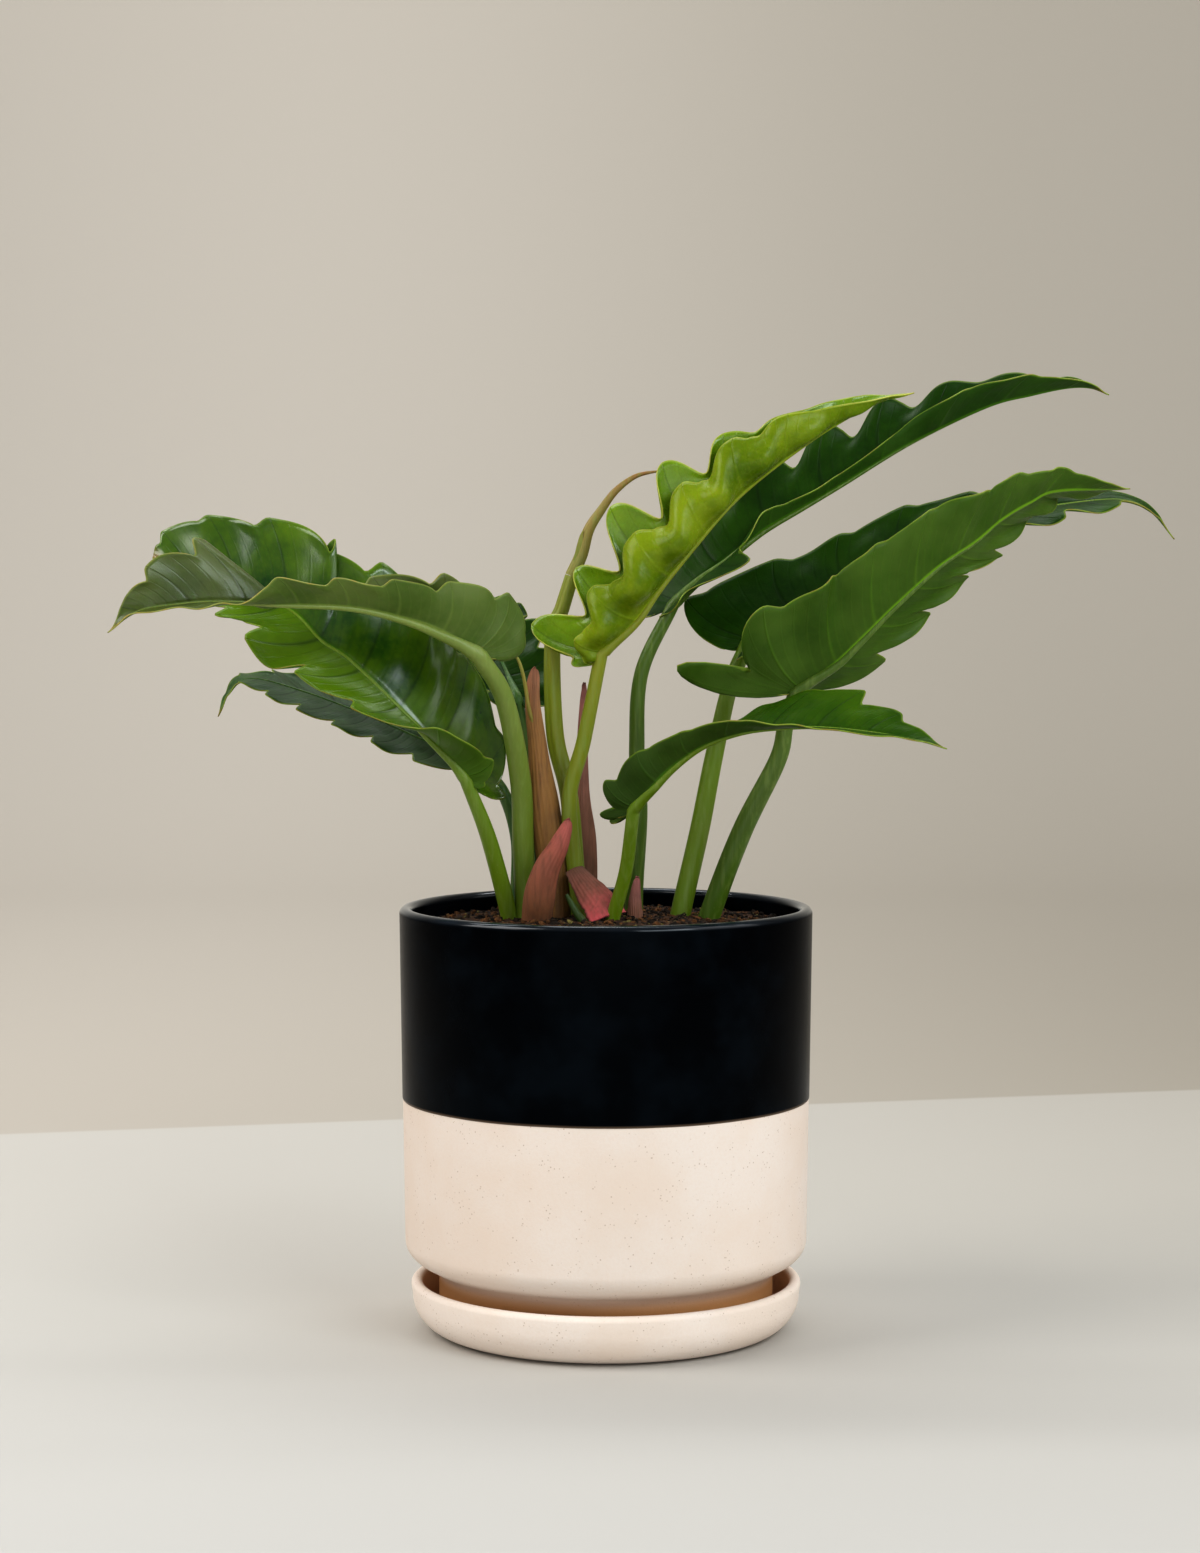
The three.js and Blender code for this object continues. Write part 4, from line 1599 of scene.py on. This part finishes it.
LEAVES = (
    Leaf(
        "leaf_01",
        midrib=(
            (-51, -15, 275), (-66, -22, 285), (-82, -30, 291), (-101, -38, 295), (-126, -48, 296),
            (-150, -55, 297), (-165, -60, 296), (-181, -64, 293), (-192, -66, 285),
        ),
        left=Half(
            reach=(21, 32, 21, 18, 18, 20, 17, 13, 6),
            lift=(86, 56, 34, 30, 30, -12, -15, -15, -15),
            notch=(0.1, 0.22, 0.25, 0.2, 0.22, 0.1, 0.05, 0.05, 0.05),
            curl=(30, 35, 10, 5, 0, 0, 0),
            ruffle=1.6,
        ),
        right=Half(
            reach=(18, 26, 24, 21, 20, 28, 32, 22, 7),
            lift=(50, 66, 36, -10, 0, 72, 80, 72, 60),
            notch=(0.2, 0.25, 0.25, 0.2, 0.2, 0.15, 0.26, 0.2, 0.1),
            curl=(10, 20, 10, 0, 0, 10, 15, 10),
            phase=1,
        ),
        stalk=(
            (-33, 15, 150), (-33, 15, 172), (-34, 12, 199), (-35, 8, 224), (-41, -5, 257),
            (-51, -15, 275),
        ),
        radii=(4.6, 4.4, 3.6),
        finish=GREY_GREEN,
        stem_finish=OLIVE_STALK,
    ),
    Leaf(
        "leaf_02",
        midrib=(
            (-57, 2, 224), (-65, 0, 235), (-81, -2, 252), (-103, 0, 273), (-115, 2, 281),
            (-129, 6, 294), (-158, 12, 307), (-186, 18, 315),
        ),
        left=Half(
            reach=(8, 15, 21, 26, 31, 32, 29, 23, 13),
            lift=(60, 0, -38, -46, -48, -48, -42, -35, -30),
            notch=(0.2, 0.2, 0.24, 0.3, 0.32, 0.34, 0.3, 0.2, 0.2),
            ruffle=1.4,
        ),
        right=Half(
            reach=(22, 38, 46, 48, 46, 42, 38, 32, 20),
            lift=(36, 44, 52, 56, 60, 60, 58, 55, 50),
            notch=(0.3, 0.1, 0.12, 0.14, 0.16, 0.2, 0.12, 0.08, 0.2),
            curl=(10, 20, 15, 10, 0),
            ruffle=1.2,
            phase=1,
        ),
        stalk=((-38, 14, 150), (-40, 14, 168), (-48, 7, 200), (-57, 2, 224)),
        radii=(3.6, 3.4, 2.6),
        finish=BRIGHT_GREEN,
        stem_finish=LIME_STALK,
    ),
    Leaf(
        "leaf_03",
        midrib=(
            (-57, 42, 230), (-78, 40, 240), (-103, 37, 251), (-127, 34, 260), (-147, 32, 265),
            (-156, 30, 260), (-161, 28, 249),
        ),
        left=Half(
            reach=(10, 20, 25, 27, 27, 25, 20, 12, 4),
            lift=(-20, -30, -30, -30, -30, -20, 0),
            notch=(0.3, 0.3),
            ruffle=1,
        ),
        right=Half(
            reach=(10, 20, 25, 27, 27, 25, 20, 12, 4),
            lift=(20, 25, 25, 20, 10, 0, 0),
            notch=(0.3, 0.3),
            phase=1,
        ),
        stalk=((-36, 32, 150), (-37, 36, 170), (-37, 40, 197), (-44, 43, 218), (-57, 42, 230)),
        radii=(3.2, 3, 2.4),
        finish=BLUISH,
        stem_finish=DARK_STALK,
    ),
    Leaf(
        "leaf_04",
        midrib=(
            (-37, 38, 256), (-41, 47, 266), (-46, 57, 276), (-52, 73, 284), (-59, 93, 291),
            (-65, 114, 295), (-72, 133, 295),
        ),
        left=Half(
            reach=(9, 15, 23, 25, 24, 21, 17, 12, 5),
            lift=(0, 0, 0),
            notch=(0.3, 0.3),
        ),
        right=Half(
            reach=(11, 19, 24, 25, 24, 21, 17, 12, 5),
            lift=(10, 18, 25, 25, 10),
            notch=(0.3, 0.3),
            ruffle=3,
            phase=1,
        ),
        stalk=((-27, 40, 150), (-28, 42, 170), (-30, 40, 214), (-37, 38, 256)),
        radii=(3.2, 3, 2.4),
        finish=DARK_GREEN,
        stem_finish=DARK_STALK,
    ),
    Leaf(
        "leaf_06",
        midrib=(
            (-2, 4, 275), (11, 2, 288), (21, 0, 302), (35, 0, 319), (50, 2, 336), (65, 4, 349),
            (86, 8, 364), (103, 12, 374), (114, 14, 379), (126, 16, 382),
        ),
        left=Half(
            reach=(10, 37, 36, 37, 33, 25, 18, 12, 6),
            lift=(50, 58, 66, 70, 70, 66, 56, 40, 15),
            notch=(0.5, 0.52, 0.52, 0.5, 0.4, 0.15, 0.05, 0.05, 0.05),
            curl=(30, 30, 20, 10),
            phase=2,
            lobed=1.0,
            quilt=2.6,
        ),
        right=Half(
            reach=(7, 14, 26, 28, 27, 26, 20, 11, 5),
            lift=(44, 26, 10, 12, 18, 24, 22, 15, 5),
            notch=(0.2, 0.42, 0.48, 0.46, 0.42, 0.3, 0.08, 0.05, 0.05),
            curl=(60, 110, 125, 118, 100, 62, 25, 0),
            ruffle=0.6,
            phase=1,
            lobed=0.6,
            quilt=-6.2,
        ),
        stalk=((-11, 12, 150), (-11, 12, 172), (-15, 10, 214), (-9, 8, 240), (-2, 4, 275)),
        turn=-22,
        radii=(3.6, 3.2, 2.7),
        finish=YOUNG,
        stem_finish=YELLOW_STALK,
        slot=Slot.YOUNG_LEAF,
    ),
    Leaf(
        "leaf_07",
        midrib=(
            (28, 40, 295), (39, 41, 306), (48, 42, 313), (65, 46, 326), (82, 49, 336),
            (99, 52, 346), (129, 56, 364), (161, 60, 379), (180, 62, 384), (195, 62, 387),
            (205, 62, 387), (213, 62, 384),
        ),
        left=Half(
            reach=(18, 26, 31, 33, 32, 29, 24, 17, 8),
            lift=(40, 50, 55, 55, 52, 48, 45, 40, 35),
            notch=(0.4, 0.42, 0.42, 0.4, 0.38, 0.3, 0.12, 0.1, 0.1),
            lobed=0.8,
            quilt=1.4,
        ),
        right=Half(
            reach=(10, 15, 24, 9, 7, 9, 20, 17, 8),
            lift=(0, -14, 55, 50, 40, 30, 36, 28, 20),
            notch=(0.2, 0.3, 0.6, 0.2, 0.1, 0.1, 0.1, 0.1, 0.1),
            curl=(0, 0, 40, 0, 0),
            phase=1,
        ),
        stalk=(
            (12, 43, 150), (12, 45, 174), (14, 42, 208), (13, 40, 236), (15, 38, 267),
            (28, 40, 295),
        ),
        radii=(4, 3.4, 2.6),
        finish=DARK_GREEN,
        stem_finish=GREEN_STALK,
    ),
    Leaf(
        "leaf_08",
        midrib=(
            (77, 0, 260), (85, -2, 266), (94, -4, 273), (105, -6, 284), (116, -6, 295),
            (134, -4, 311), (149, 0, 321), (160, 4, 330), (172, 8, 337), (184, 12, 342),
            (215, 18, 343),
        ),
        left=Half(
            reach=(9, 16, 24, 29, 31, 31, 27, 18, 8),
            lift=(-30, -45, -50, -50, -50, -45, -30, -10),
            notch=(0.35, 0.4, 0.42, 0.42, 0.42, 0.4, 0.36, 0.3, 0.2),
        ),
        right=Half(
            reach=(53, 45, 38, 34, 32, 28, 22, 14, 7),
            lift=(44, 50, 50, 50, 48, 46, 42, 38, 30),
            notch=(0.55, 0.1, 0.06, 0.05, 0.05, 0.06, 0.08, 0.1, 0.1),
            curl=(0, 20, 15, 5),
            ruffle=1.5,
            phase=1,
            quilt=1.3,
        ),
        stalk=(
            (38, 18, 150), (43, 15, 168), (56, 10, 203), (70, 5, 232), (73, 2, 246), (77, 0, 260),
        ),
        turn=20,
        radii=(4.6, 4.2, 3),
        finish=BROAD_GREEN,
        stem_finish=GREEN_STALK,
    ),
    Leaf(
        "leaf_09",
        midrib=(
            (59, 38, 279), (66, 41, 286), (77, 45, 294), (94, 50, 302), (116, 54, 314),
            (141, 58, 325), (167, 61, 333), (193, 63, 338), (218, 63, 340), (231, 62, 335),
            (241, 60, 323),
        ),
        left=Half(
            reach=(10, 34, 25, 24, 25, 22, 17, 12, 6),
            lift=(45, 46, 44, 40, 35, 30, 20, 10),
            notch=(0.1, 0.1),
            ruffle=0.9,
        ),
        right=Half(
            reach=(14, 22, 28, 30, 30, 28, 24, 18, 8),
            lift=(0, -10, -20, -25, -25, -20, -10),
            notch=(0.25, 0.25),
            phase=1,
        ),
        stalk=(
            (28, 24, 150), (31, 25, 167), (39, 28, 202), (45, 32, 232), (52, 36, 262),
            (59, 38, 279),
        ),
        radii=(4.3, 4, 3),
        finish=DARK_GREEN,
        stem_finish=LIME_STALK,
    ),
    Leaf(
        "leaf_10",
        midrib=(
            (11, -18, 213), (18, -24, 222), (25, -28, 230), (38, -36, 240), (54, -44, 246),
            (72, -50, 248), (87, -54, 248), (106, -58, 246), (122, -60, 243), (132, -61, 240),
        ),
        left=Half(
            reach=(22, 22, 19, 18, 21, 25, 25, 16, 7),
            lift=(45, 38, 16, 22, 36, 42, 40, 36, 20),
            notch=(0.2, 0.2, 0.3, 0.03, 0.03, 0.03, 0.3, 0.18, 0.1),
            ruffle=0.8,
            quilt=1.0,
        ),
        right=Half(
            reach=(16, 17, 15, 12, 13, 14, 12, 9, 4),
            lift=(55, 45, 24, 10, -4, -10, -12, -10, -8),
            notch=(0.5, 0.2, 0.1, 0.1, 0.1, 0.05, 0.05, 0.05, 0.05),
            curl=(30, 30, 15, 0, 0),
            ruffle=0.8,
            phase=1,
        ),
        stalk=((0, -2, 150), (2, -4, 165), (8, -10, 188), (11, -18, 213)),
        radii=(3, 2.8, 2.6),
        finish=FRONT_GREEN,
        stem_finish=LIME_STALK,
    ),
)


@dataclass
class Spear:
    """The newest leaf, still rolled, on its grooved stalk, with a small tooth that stands off it.

    groove_turn, groove_width, groove_depth: The groove's place as a share of a turn, its width in
        radians and its depth as a share of the radius.
    step_turn, step: Place of the roll's outer edge and how far it stands out there.
    tooth_foot: Where the tooth starts on the roll.
    tooth_reach, tooth_height, tooth_droop: How far it stands off, how tall it is, and how far it
        hangs down for each millimetre that it stands off.
    """

    stalk: tuple[Point, ...] = (
        (-12, 21, 150),
        (-12, 21, 171),
        (-15, 21, 215),
        (-21, 23, 242),
        (-22, 26, 281),
        (-18, 26, 294),
        (-14, 26, 307),
    )
    stalk_radii: tuple[float, ...] = (4.4, 3.8, 3.6, 2.9)
    groove_turn: float = 0.90
    groove_width: float = 0.22
    groove_depth: float = 0.20
    roll: tuple[Point, ...] = (
        (-14, 26, 307),
        (-10, 26, 316),
        (-7, 26, 326),
        (-2, 26, 334),
        (4, 26, 342),
        (12, 26, 348),
        (20, 26, 350),
        (24, 26, 350),
    )
    roll_radii: tuple[float, ...] = (2.9, 2.7, 2.3, 1.8, 1.4, 0.9, 0.3)
    step_turn: float = 0.12
    step: float = 0.13
    tooth_foot: Point = (-9.5, 24.2, 309.5)
    tooth_reach: float = 5.2
    tooth_height: float = 16.5
    tooth_droop: float = 0.6
    tooth_thickness: float = 0.5

    def stem(self) -> None:
        """Models the stalk, with a groove a little left of its front."""

        def grooved(turn: float) -> float:
            """Share of the radius at a turn."""
            off = (turn - self.groove_turn) * FULL_TURN
            return 1.0 - self.groove_depth * hump(off / self.groove_width)

        piece = tube("leaf_05_stem", self.stalk, self.stalk_radii, 90, grooved)
        hand_over(piece, Slot.STALK, ["leaf_05_stalk"], YELLOW_STALK.material())

    def tooth(self) -> None:
        """Models the small tooth."""
        x, y, z = self.tooth_foot

        def place(across: float, along: float) -> Placed:
            """Point of the tooth, which is widest near its foot."""
            reach = self.tooth_reach * across * (1 - along) ** 0.6 * min(1.0, along * 6 + 0.35)
            height = self.tooth_height * along - self.tooth_droop * reach
            return Vector((x - reach, y, z + height)), {"along": along}

        piece = net("leaf_05_tooth", 8, 12, place)
        thicken(piece, self.tooth_thickness, offset=0.0)
        hand_over(piece, Slot.YOUNG_LEAF, [], ROLL_TOOTH.material())

    def spear(self) -> None:
        """Models the roll, whose outer edge ends in a step."""

        def rolled(turn: float) -> float:
            """Share of the radius at a turn."""
            return 0.90 + self.step * ((turn + self.step_turn) % 1.0)

        piece = tube("leaf_05_spear", self.roll, self.roll_radii, 60, rolled)
        hand_over(piece, Slot.YOUNG_LEAF, ["leaf_05_rolled_blade"], ROLLED_BLADE.material())


# Sheaths


@dataclass(frozen=True)
class Sheath:
    """One papery sheath.

    path, width: Its line from foot to tip, and its width along it.
    cup: Angle in degrees that its section turns through.
    facing: What its outer face looks at.
    fray: How far its edges are torn.
    tip: Share of its length over which the tip is rounded.
    """

    node: str
    path: tuple[Point, ...]
    width: tuple[float, ...]
    cup: float
    facing: Point
    finish: SheathFinish
    ribs: int = 9
    fray: float = 0.5
    tip: float = 0.08


BROWN_SHEATH = SheathFinish(
    "brown sheath",
    (
        (0.0, (0.24, 0.11, 0.020)),
        (0.35, (0.31, 0.155, 0.035)),
        (0.8, (0.35, 0.17, 0.050)),
        (1.0, (0.45, 0.20, 0.12)),
    ),
)
PINK_SHEATH = SheathFinish(
    "pink sheath",
    (
        (0.0, (0.24, 0.10, 0.05)),
        (0.5, (0.30, 0.13, 0.08)),
        (1.0, (0.50, 0.19, 0.18)),
    ),
)
RED_SHEATH = SheathFinish(
    "red sheath",
    (
        (0.0, (0.24, 0.11, 0.04)),
        (0.35, (0.30, 0.12, 0.05)),
        (0.75, (0.42, 0.125, 0.08)),
        (1.0, (0.50, 0.13, 0.11)),
    ),
)
FLARED_SHEATH = SheathFinish(
    "flared sheath",
    (
        (0.0, (0.15, 0.06, 0.035)),
        (0.45, (0.32, 0.10, 0.065)),
        (1.0, (0.58, 0.09, 0.10)),
    ),
)

SHEATHS = (
    Sheath(
        "sheath_tall_left",
        path=(
            (-21, 14, 154),
            (-21, 14, 172),
            (-22, 14, 190),
            (-25, 14, 210),
            (-28, 13, 237),
            (-30, 12, 256),
            (-29, 11, 270),
        ),
        width=(11, 12, 12.5, 12, 8, 6, 4),
        cup=150,
        facing=(0, -1, 0),
        finish=BROWN_SHEATH,
    ),
    Sheath(
        "sheath_tall_right",
        path=(
            (-9, 34, 154),
            (-9, 34, 170),
            (-9, 34, 193),
            (-10, 33, 212),
            (-10, 32, 231),
            (-9, 30, 263),
        ),
        width=(11, 11, 10, 6, 4, 1.8),
        cup=120,
        facing=(0.3, -1, 0),
        finish=PINK_SHEATH,
    ),
    Sheath(
        "sheath_front",
        path=(
            (-28, 0, 154),
            (-28, 0, 166),
            (-27, -3, 176),
            (-24, -6, 188),
            (-19, -8, 198),
            (-14.5, -9, 209),
        ),
        width=(11, 12.5, 12.5, 10.5, 7.5, 2.8),
        cup=170,
        facing=(-0.3, -1, 0),
        finish=RED_SHEATH,
    ),
    Sheath(
        "sheath_papery",
        path=((-13, 7, 187), (-10, 4, 183), (-6, 1, 178), (-2, -2, 173), (1, -5, 168)),
        width=(8, 11, 14, 16, 17),
        cup=70,
        facing=(0.4, -1, 0.5),
        finish=FLARED_SHEATH,
        fray=2.0,
        tip=0.001,
    ),
    Sheath(
        "sheath_small",
        path=((12, 8, 156), (12, 8, 168), (12, 8, 176), (13, 8, 184)),
        width=(6, 6, 4.6, 1.6),
        cup=120,
        facing=(0, -1, 0),
        finish=PINK_SHEATH,
    ),
)


@dataclass
class SheathMaker:
    """Models one sheath as a cupped, ribbed sheet with a frayed edge.

    rib_height, warp: Height of its ribs, and how far its face is uneven.
    """

    sheath: Sheath
    across: int = 40
    along: int = 90
    thickness: float = 0.7
    rib_height: float = 0.07
    warp: float = 0.2

    def build(self) -> None:
        """Models the sheath."""
        sheath = self.sheath
        line = Line(sheath.path)
        facing = Vector(sheath.facing)
        half_cup = math.radians(sheath.cup) / 2

        def place(turn: float, share: float) -> Placed:
            """Point of the sheath's front face."""
            _, up, side = line.axes(share, facing)
            across = 2 * turn - 1
            radius = spread(sheath.width, share) / (2 * math.sin(half_cup))
            rib = 0.5 + 0.5 * math.cos(across * math.pi * sheath.ribs)
            uneven = noise.noise(Vector((share * 6, across, 0)))
            skin = radius + self.thickness / 2 + self.rib_height * rib + self.warp * uneven
            torn = noise.noise(Vector((share * 22, across * 1.5, len(sheath.node)))) * sheath.fray
            past = max(0.0, share - 1 + sheath.tip) / sheath.tip
            closing = math.sqrt(max(0.0, 1 - past * past))
            angle = half_cup * across * closing * (1 + 0.03 * torn * abs(across) ** 3)
            out = skin * math.cos(angle) - radius * math.cos(half_cup)
            point = line.at(share) + side * (skin * math.sin(angle)) + up * out
            return point, {"along": share, "across": across, "ribs": rib}

        piece = net(f"{sheath.node}_scale", self.across, self.along, place)
        bpy.ops.object.shade_smooth()
        thicken(piece, self.thickness)
        edit(face_out)
        hand_over(piece, Slot.SHEATH, [sheath.node], sheath.finish.material())


@dataclass
class SmallGrowth:
    """The dried tendril on the tall left sheath and the small green shoot beside the front one."""

    tendril: tuple[Point, ...] = (
        (-29.5, 11, 246),
        (-31.5, 9.5, 253),
        (-32.7, 8.5, 261),
        (-33.8, 7, 267),
        (-35.5, 5, 272.5),
        (-38, 3, 276),
        (-41.5, 1, 279),
    )
    tendril_radii: tuple[float, ...] = (0.9, 0.8, 0.7, 0.5)
    shoot: tuple[Point, ...] = ((-7, -10, 154), (-8, -10, 165), (-12, -8, 171), (-16, -6, 178))
    shoot_radii: tuple[float, ...] = (1.6, 1.8, 1.6, 0.8)
    rings: int = 40

    def build(self) -> None:
        """Models both."""
        piece = tube("sheath_tendril", self.tendril, self.tendril_radii, self.rings)
        hand_over(piece, Slot.SHEATH, [], TENDRIL.material())
        piece = tube("shoot_stem", self.shoot, self.shoot_radii, self.rings)
        hand_over(piece, Slot.STALK, ["small_shoot"], SHOOT.material())


# Studio


@dataclass(frozen=True)
class Softbox:
    """One soft light: where it hangs and what it points at, its size in metres, and its power."""

    name: str
    place: Point
    aim: Point
    size: tuple[float, float]
    watts: float
    tint: Colour

    def hang(self) -> None:
        """Hangs the light."""
        start_fresh()
        bpy.ops.object.light_add(type="AREA", location=self.place)
        lamp = bpy.context.object
        lamp.name = self.name
        lamp.data.shape = "RECTANGLE"
        lamp.data.size, lamp.data.size_y = self.size
        lamp.data.energy = self.watts
        lamp.data.color = self.tint
        way = Vector(self.aim) - Vector(self.place)
        lamp.rotation_euler = way.to_track_quat("-Z", "Y").to_euler()


SOFTBOXES = (
    Softbox("key", (-1.08, -0.36, 1.15), (0, 0, 0.25), (0.9, 0.9), 10.9, (1.0, 0.985, 0.96)),
    Softbox("top", (0.2, 0.5, 1.4), (0, 0, 0.2), (1.2, 0.6), 2.5, (0.95, 0.98, 1.0)),
    Softbox("side", (1.0, -0.35, 0.8), (0, 0, 0.2), (1.0, 0.9), 4.3, (0.97, 0.98, 1.0)),
    Softbox("sheen", (0.64, -0.92, 0.86), (-0.09, 0, 0.28), (0.66, 0.46), 5.4, (0.86, 0.95, 1.0)),
    Softbox("fill", (-0.1, -1.7, 0.22), (0, 0, 0.10), (2.2, 0.4), 4.4, (0.98, 0.99, 1.0)),
    Softbox("backdrop", (0, 1.1, 2.6), (0, 3.0, 0.6), (3.5, 1.0), 52.0, (0.98, 0.99, 1.0)),
)


@dataclass
class Studio:
    """A pale floor and a wall with painted shadow to the right, soft light and the camera where
    the photographer stood.

    near_tones: Colours of the floor on its left and on its right; front_tones closer to the camera,
    back_tones behind a straight line across it, and far_tone far behind that. Each pair is
    darker on the right as painted shadow, and back_tones are darker as the wall's painted shade.
    line_y, line_turn_deg, line_blur: Where that line runs, and half the width of its soft edge.
    front, back: How far the floor reaches from the object to each end.
    """

    camera_place: Point = (-0.0024, -1.300, 0.299)
    pitch_deg: float = 3.23
    lens_mm: float = 74.27
    sensor_mm: float = 36.0
    nearest: float = 0.01
    exposure: float = 0.42
    gamma: float = 0.82
    near_tones: tuple[Colour, Colour] = ((0.62, 0.594, 0.550), (0.47, 0.441, 0.392))
    front_tones: tuple[Colour, Colour] = ((0.60, 0.582, 0.555), (0.505, 0.482, 0.452))
    back_tones: tuple[Colour, Colour] = ((0.555, 0.510, 0.450), (0.38, 0.345, 0.290))
    far_tone: Colour = (0.60, 0.565, 0.505)
    roughness: float = 0.75
    shine: float = 0.15
    line_y: float = 0.545
    line_turn_deg: float = 13.0
    line_blur: float = 0.004
    front: float = 4.0
    back: float = 1.9
    bend_radius: float = 1.3
    wall_height: float = 4.0
    width: float = 14.0
    sky: Colour = (0.96, 0.98, 1.0)
    sky_strength: float = 0.22

    def _paint(self) -> bpy.types.Material:
        """Pale paint before a straight line on the floor, and a darker tone behind it as the wall's
        painted shade; both darken towards the right as painted shadow.
        """
        shader = Shader("studio paint")
        side, depth = shader.axis("X"), shader.axis("Y")
        across = depth - side * math.tan(math.radians(self.line_turn_deg))
        behind = across.rise(self.line_y - self.line_blur, self.line_y + self.line_blur)
        # Painted shadow: floor and wall are painted darker towards the right.
        right = side.rise(-0.5, 0.6)
        near = shader.mix(right, *self.near_tones)
        in_front = 1.0 - depth.rise(-0.45, 0.35)
        floor = shader.mix(in_front * 0.8, near, shader.mix(right, *self.front_tones))
        wall = shader.mix(right, *self.back_tones)
        wall = shader.mix(depth.rise(0.4, 3.0) * 0.4, wall, self.far_tone)
        constants = {"Specular IOR Level": self.shine}
        return shader.dress(shader.mix(behind, floor, wall), self.roughness, constants=constants)

    def ground(self) -> None:
        """Lays the floor, which sweeps up into the wall far behind."""
        flat, radius = self.front + self.back, self.bend_radius
        bend = radius * math.pi / 2

        def place(across: float, along: float) -> Placed:
            """Point of the sweep."""
            x = (across - 0.5) * self.width
            run = along * (flat + bend + self.wall_height)
            if run < flat:
                y, z = run - self.front, 0.0
            elif run < flat + bend:
                angle = (run - flat) / radius
                y, z = self.back + radius * math.sin(angle), radius * (1 - math.cos(angle))
            else:
                y, z = self.back + radius, radius + run - flat - bend
            return Vector((x, y, z)) / MM, {}

        piece = net("studio_sweep", 2, 240, place)
        bpy.ops.object.shade_smooth()
        piece.data.materials.append(self._paint())

    def lights(self) -> None:
        """Hangs the soft lights and sets the sky."""
        for softbox in SOFTBOXES:
            softbox.hang()
        world = bpy.data.worlds.new("studio")
        bpy.context.scene.world = world
        world.use_nodes = True
        background = world.node_tree.nodes["Background"]
        background.inputs["Color"].default_value = (*self.sky, 1.0)
        background.inputs["Strength"].default_value = self.sky_strength

    def camera(self) -> None:
        """Sets up the camera."""
        start_fresh()
        tilt = math.radians(90 - self.pitch_deg)
        bpy.ops.object.camera_add(location=self.camera_place, rotation=(tilt, 0, 0))
        camera = bpy.context.object
        camera.data.sensor_width = self.sensor_mm
        camera.data.lens = self.lens_mm
        camera.data.dof.use_dof = False
        camera.data.clip_start = self.nearest
        bpy.context.scene.camera = camera
        view = bpy.context.scene.view_settings
        view.view_transform = "Standard"
        view.exposure, view.gamma = self.exposure, self.gamma


def main() -> None:
    """Builds the studio and every piece, in order."""
    logging.basicConfig(level=logging.INFO, format="%(message)s")
    studio = Studio()
    studio.camera()
    studio.ground()
    studio.lights()

    clay = ClayFinish()
    crockery = Crockery()
    # Painted light: the saucer takes a paler copy of the clay, standing in for light on its sides.
    crockery.saucer(replace(clay, light=(0.90, 0.80, 0.72), warm=(0.84, 0.70, 0.585)))
    crockery.pot(GlazeFinish(clay, crockery.glaze_line))

    soil = SoilBed(crockery)
    soil.bed(SoilFinish("potting soil"))
    soil.loose(CRUMBS)
    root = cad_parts["rootstock"]
    root.data.materials.clear()
    root.data.materials.append(RootFinish().material())

    for number, leaf in enumerate(LEAVES):
        maker = LeafMaker(leaf, seed=float(number))
        maker.blade()
        maker.stem()
    spear = Spear()
    spear.stem()
    spear.tooth()
    spear.spear()
    for sheath in SHEATHS:
        SheathMaker(sheath).build()
    SmallGrowth().build()

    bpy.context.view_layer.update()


if __name__ == "__main__":
    main()
